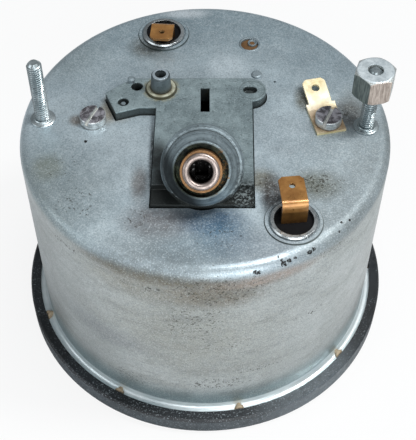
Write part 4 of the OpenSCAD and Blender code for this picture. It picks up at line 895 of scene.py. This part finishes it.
# Scale of the dial, in millimetres and degrees
PRINT_LIFT = 0.03
DIAL_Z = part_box("dial")[0].z / MM - PRINT_LIFT
ZERO_TURN, SWEEP, TOP_SPEED = -45.0, 250.0, 120
SPEED_STEP, MIDDLE_STEP, NUMBER_STEP = 2, 10, 20
SCALE_R, NUMBER_R, NUMBER_H = 40.5, 30.8, 4.6
LONG_TICK, MIDDLE_TICK, SHORT_TICK = (4.6, 1.0), (3.4, 0.7), (1.9, 0.35)


def tick(turn, r0, r1, width):
    """Flat bar of the scale; the dial is read from below, so it faces down."""
    along = (math.cos(turn), math.sin(turn))
    side = (-along[1] * width / 2, along[0] * width / 2)
    corners = ((r0, 1), (r1, 1), (r1, -1), (r0, -1))
    verts = [(along[0] * r + s * side[0], along[1] * r + s * side[1], DIAL_Z) for r, s in corners]
    return verts, [(0, 1, 2, 3)]


marks = []
for speed in range(0, TOP_SPEED + 1, SPEED_STEP):
    turn = math.radians(ZERO_TURN + SWEEP * speed / TOP_SPEED)
    numbered = speed % NUMBER_STEP == 0
    length, width = LONG_TICK if numbered else MIDDLE_TICK if speed % MIDDLE_STEP == 0 else SHORT_TICK
    marks.append(tick(turn, SCALE_R - length, SCALE_R, width))
    if numbered:
        verts, faces = number_outline(str(speed), NUMBER_H)
        cx, cy = NUMBER_R * math.cos(turn), NUMBER_R * math.sin(turn)
        marks.append(([(cx - x, cy + y, DIAL_Z) for x, y, z in verts], faces))
add_piece("dial_scale", joined(*marks), print_white, "case", 60)


DIGITS, DIGIT_LIFT, DRUM_DIGIT_H, TRIP_DIGIT_H = 10, 0.02, 2.6, 2.4


def drum_numbers(low, high, height):
    """Digits 0 to 9 laid round a number drum; the next one comes up from below."""
    middle = (low + high) / 2 / MM
    radius = (high.z - low.z) / 2 / MM + DIGIT_LIFT
    shapes = []
    for digit in range(DIGITS):
        verts, faces = number_outline(str(digit), height)
        placed = []
        for x, y, z in verts:
            turn = y / radius - 2 * math.pi * digit / DIGITS
            up, out = radius * math.sin(turn), radius * math.cos(turn)
            placed.append((middle.x - x, middle.y + up, middle.z - out))
        shapes.append((placed, faces))
    return joined(*shapes)


for i in DRUMS:
    low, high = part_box(f"odometer_drum_{i}")
    digits = drum_numbers(low, high, DRUM_DIGIT_H)
    add_piece(f"drum_digits_{i}", digits, print_white, f"drum_{i}", 60)
TRIP_DRUMS = 4
low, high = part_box("trip_drums")
width = (high.x - low.x) / TRIP_DRUMS
trip_digits = []
for i in range(TRIP_DRUMS):
    left = Vector((low.x + i * width, low.y, low.z))
    right = Vector((low.x + (i + 1) * width, high.y, high.z))
    trip_digits.append(drum_numbers(left, right, TRIP_DIGIT_H))
add_piece("trip_digits", joined(*trip_digits), print_white, "trip", 60)


# Camera of the photograph, worked out from the can's and the bezel's outlines, in pixels and metres
FOCAL_PX, FRAME_PX = 1000.0, (416.0, 440.0)
AXIS_PX = (205.08, 207.0)
CAMERA_AT = (0.0, -184.69 * MM, 258.77 * MM)
LOOK_DOWN = math.radians(50.54)


def add_camera():
    data = bpy.data.cameras.new("photo_camera")
    data.sensor_width = 36.0
    data.lens = FOCAL_PX * data.sensor_width / FRAME_PX[1]
    data.shift_x = (FRAME_PX[0] / 2 - AXIS_PX[0]) / FRAME_PX[1]
    data.shift_y = (AXIS_PX[1] - FRAME_PX[1] / 2) / FRAME_PX[1]
    data.clip_start, data.clip_end = 0.01, 20.0
    camera = bpy.data.objects.new("photo_camera", data)
    camera.location = CAMERA_AT
    camera.rotation_euler = (math.pi / 2 - LOOK_DOWN, 0, 0)
    bpy.context.scene.collection.objects.link(camera)
    bpy.context.scene.camera = camera


# Lamps: name, place and size in metres, watts, colour
LAMPS = (
    ("key", (0.36, -0.02, 0.72), 0.14, 4.1, (1.0, 0.99, 0.97)),
    ("above", (0.12, 0.00, 0.84), 0.22, 2.0, (0.98, 0.99, 1.0)),
    ("front", (0.10, -0.74, 0.36), 0.7, 5.1, (0.97, 0.99, 1.0)),
    ("left", (-0.60, -0.25, 0.35), 0.5, 1.2, (0.95, 0.98, 1.0)),
)
CENTRE = (0, 0, 0.045)


def area_light(name, location, size, power, colour):
    """Round lamp that looks at the middle of the part."""
    data = bpy.data.lights.new(name, "AREA")
    data.shape = "DISK"
    data.size = size
    data.energy = power
    data.color = colour
    light = bpy.data.objects.new(name, data)
    light.location = location
    light.rotation_euler = (Vector(CENTRE) - Vector(location)).to_track_quat("-Z", "Y").to_euler()
    bpy.context.scene.collection.objects.link(light)


WORLD_LIGHT = 0.32


def add_world():
    """White to the camera and through glass, softer as a light and in reflections."""
    world = bpy.data.worlds.new("studio")
    world.use_nodes = True
    bpy.context.scene.world = world
    tree = world.node_tree
    tree.nodes.clear()
    out = tree.nodes.new("ShaderNodeOutputWorld")
    seen, lit = [tree.nodes.new("ShaderNodeBackground") for _ in range(2)]
    seen.inputs["Strength"].default_value = 1.0
    seen.inputs["Color"].default_value = (1, 1, 1, 1)
    lit.inputs["Strength"].default_value = WORLD_LIGHT
    lit.inputs["Color"].default_value = (0.93, 0.97, 1.0, 1)
    path = tree.nodes.new("ShaderNodeLightPath")
    shown = tree.nodes.new("ShaderNodeMath")
    shown.operation = "MAXIMUM"
    tree.links.new(path.outputs["Is Camera Ray"], shown.inputs[0])
    tree.links.new(path.outputs["Is Transmission Ray"], shown.inputs[1])
    mixed = tree.nodes.new("ShaderNodeMixShader")
    tree.links.new(shown.outputs[0], mixed.inputs[0])
    tree.links.new(lit.outputs[0], mixed.inputs[1])
    tree.links.new(seen.outputs[0], mixed.inputs[2])
    tree.links.new(mixed.outputs[0], out.inputs[0])


# Floor, in metres, and the share of plain white that the camera sees on it
FLOOR_R, FLOOR_HOLE_R, FLOOR_Z, FLOOR_SEGMENTS = 4.0, 0.050, -0.0002, 96
FLOOR_WHITE = 0.86


def add_floor():
    """Pale floor that keeps a soft shadow, open under the glass and clear when seen from below."""
    mesh = bpy.data.meshes.new("studio_floor")
    form = bmesh.new()
    rims = [bmesh.ops.create_circle(form, segments=FLOOR_SEGMENTS, radius=r)["verts"]
            for r in (FLOOR_HOLE_R, FLOOR_R)]
    for k in range(FLOOR_SEGMENTS):
        form.faces.new((rims[0][k - 1], rims[1][k - 1], rims[1][k], rims[0][k]))
    bmesh.ops.recalc_face_normals(form, faces=form.faces)
    form.to_mesh(mesh)
    form.free()
    floor = bpy.data.objects.new("studio_floor", mesh)
    floor.location = (0, 0, FLOOR_Z)
    bpy.context.scene.collection.objects.link(floor)
    f = Finish("floor_white", 0.0, 0.9, 0.1)
    f.colour(f.mix(f.noise(8, 3, 0.5), srgb(196, 198, 200), srgb(204, 206, 208)))
    out = next(n for n in f.tree.nodes if n.type == "OUTPUT_MATERIAL")
    glow = f.add("ShaderNodeEmission")
    path = f.add("ShaderNodeLightPath")
    bright = f.add("ShaderNodeMixShader")
    f.link(f.math("MULTIPLY", path.outputs["Is Camera Ray"], FLOOR_WHITE), bright.inputs[0])
    f.link(f.shader.outputs[0], bright.inputs[1])
    f.link(glow.outputs[0], bright.inputs[2])
    clear = f.add("ShaderNodeBsdfTransparent")
    facing = f.add("ShaderNodeNewGeometry")
    both = f.add("ShaderNodeMixShader")
    f.link(facing.outputs["Backfacing"], both.inputs[0])
    f.link(bright.outputs[0], both.inputs[1])
    f.link(clear.outputs[0], both.inputs[2])
    f.link(both.outputs[0], out.inputs[0])
    mesh.materials.append(f.material)


add_camera()
add_world()
add_floor()
for lamp in LAMPS:
    area_light(*lamp)
bpy.context.scene.view_settings.view_transform = "Standard"
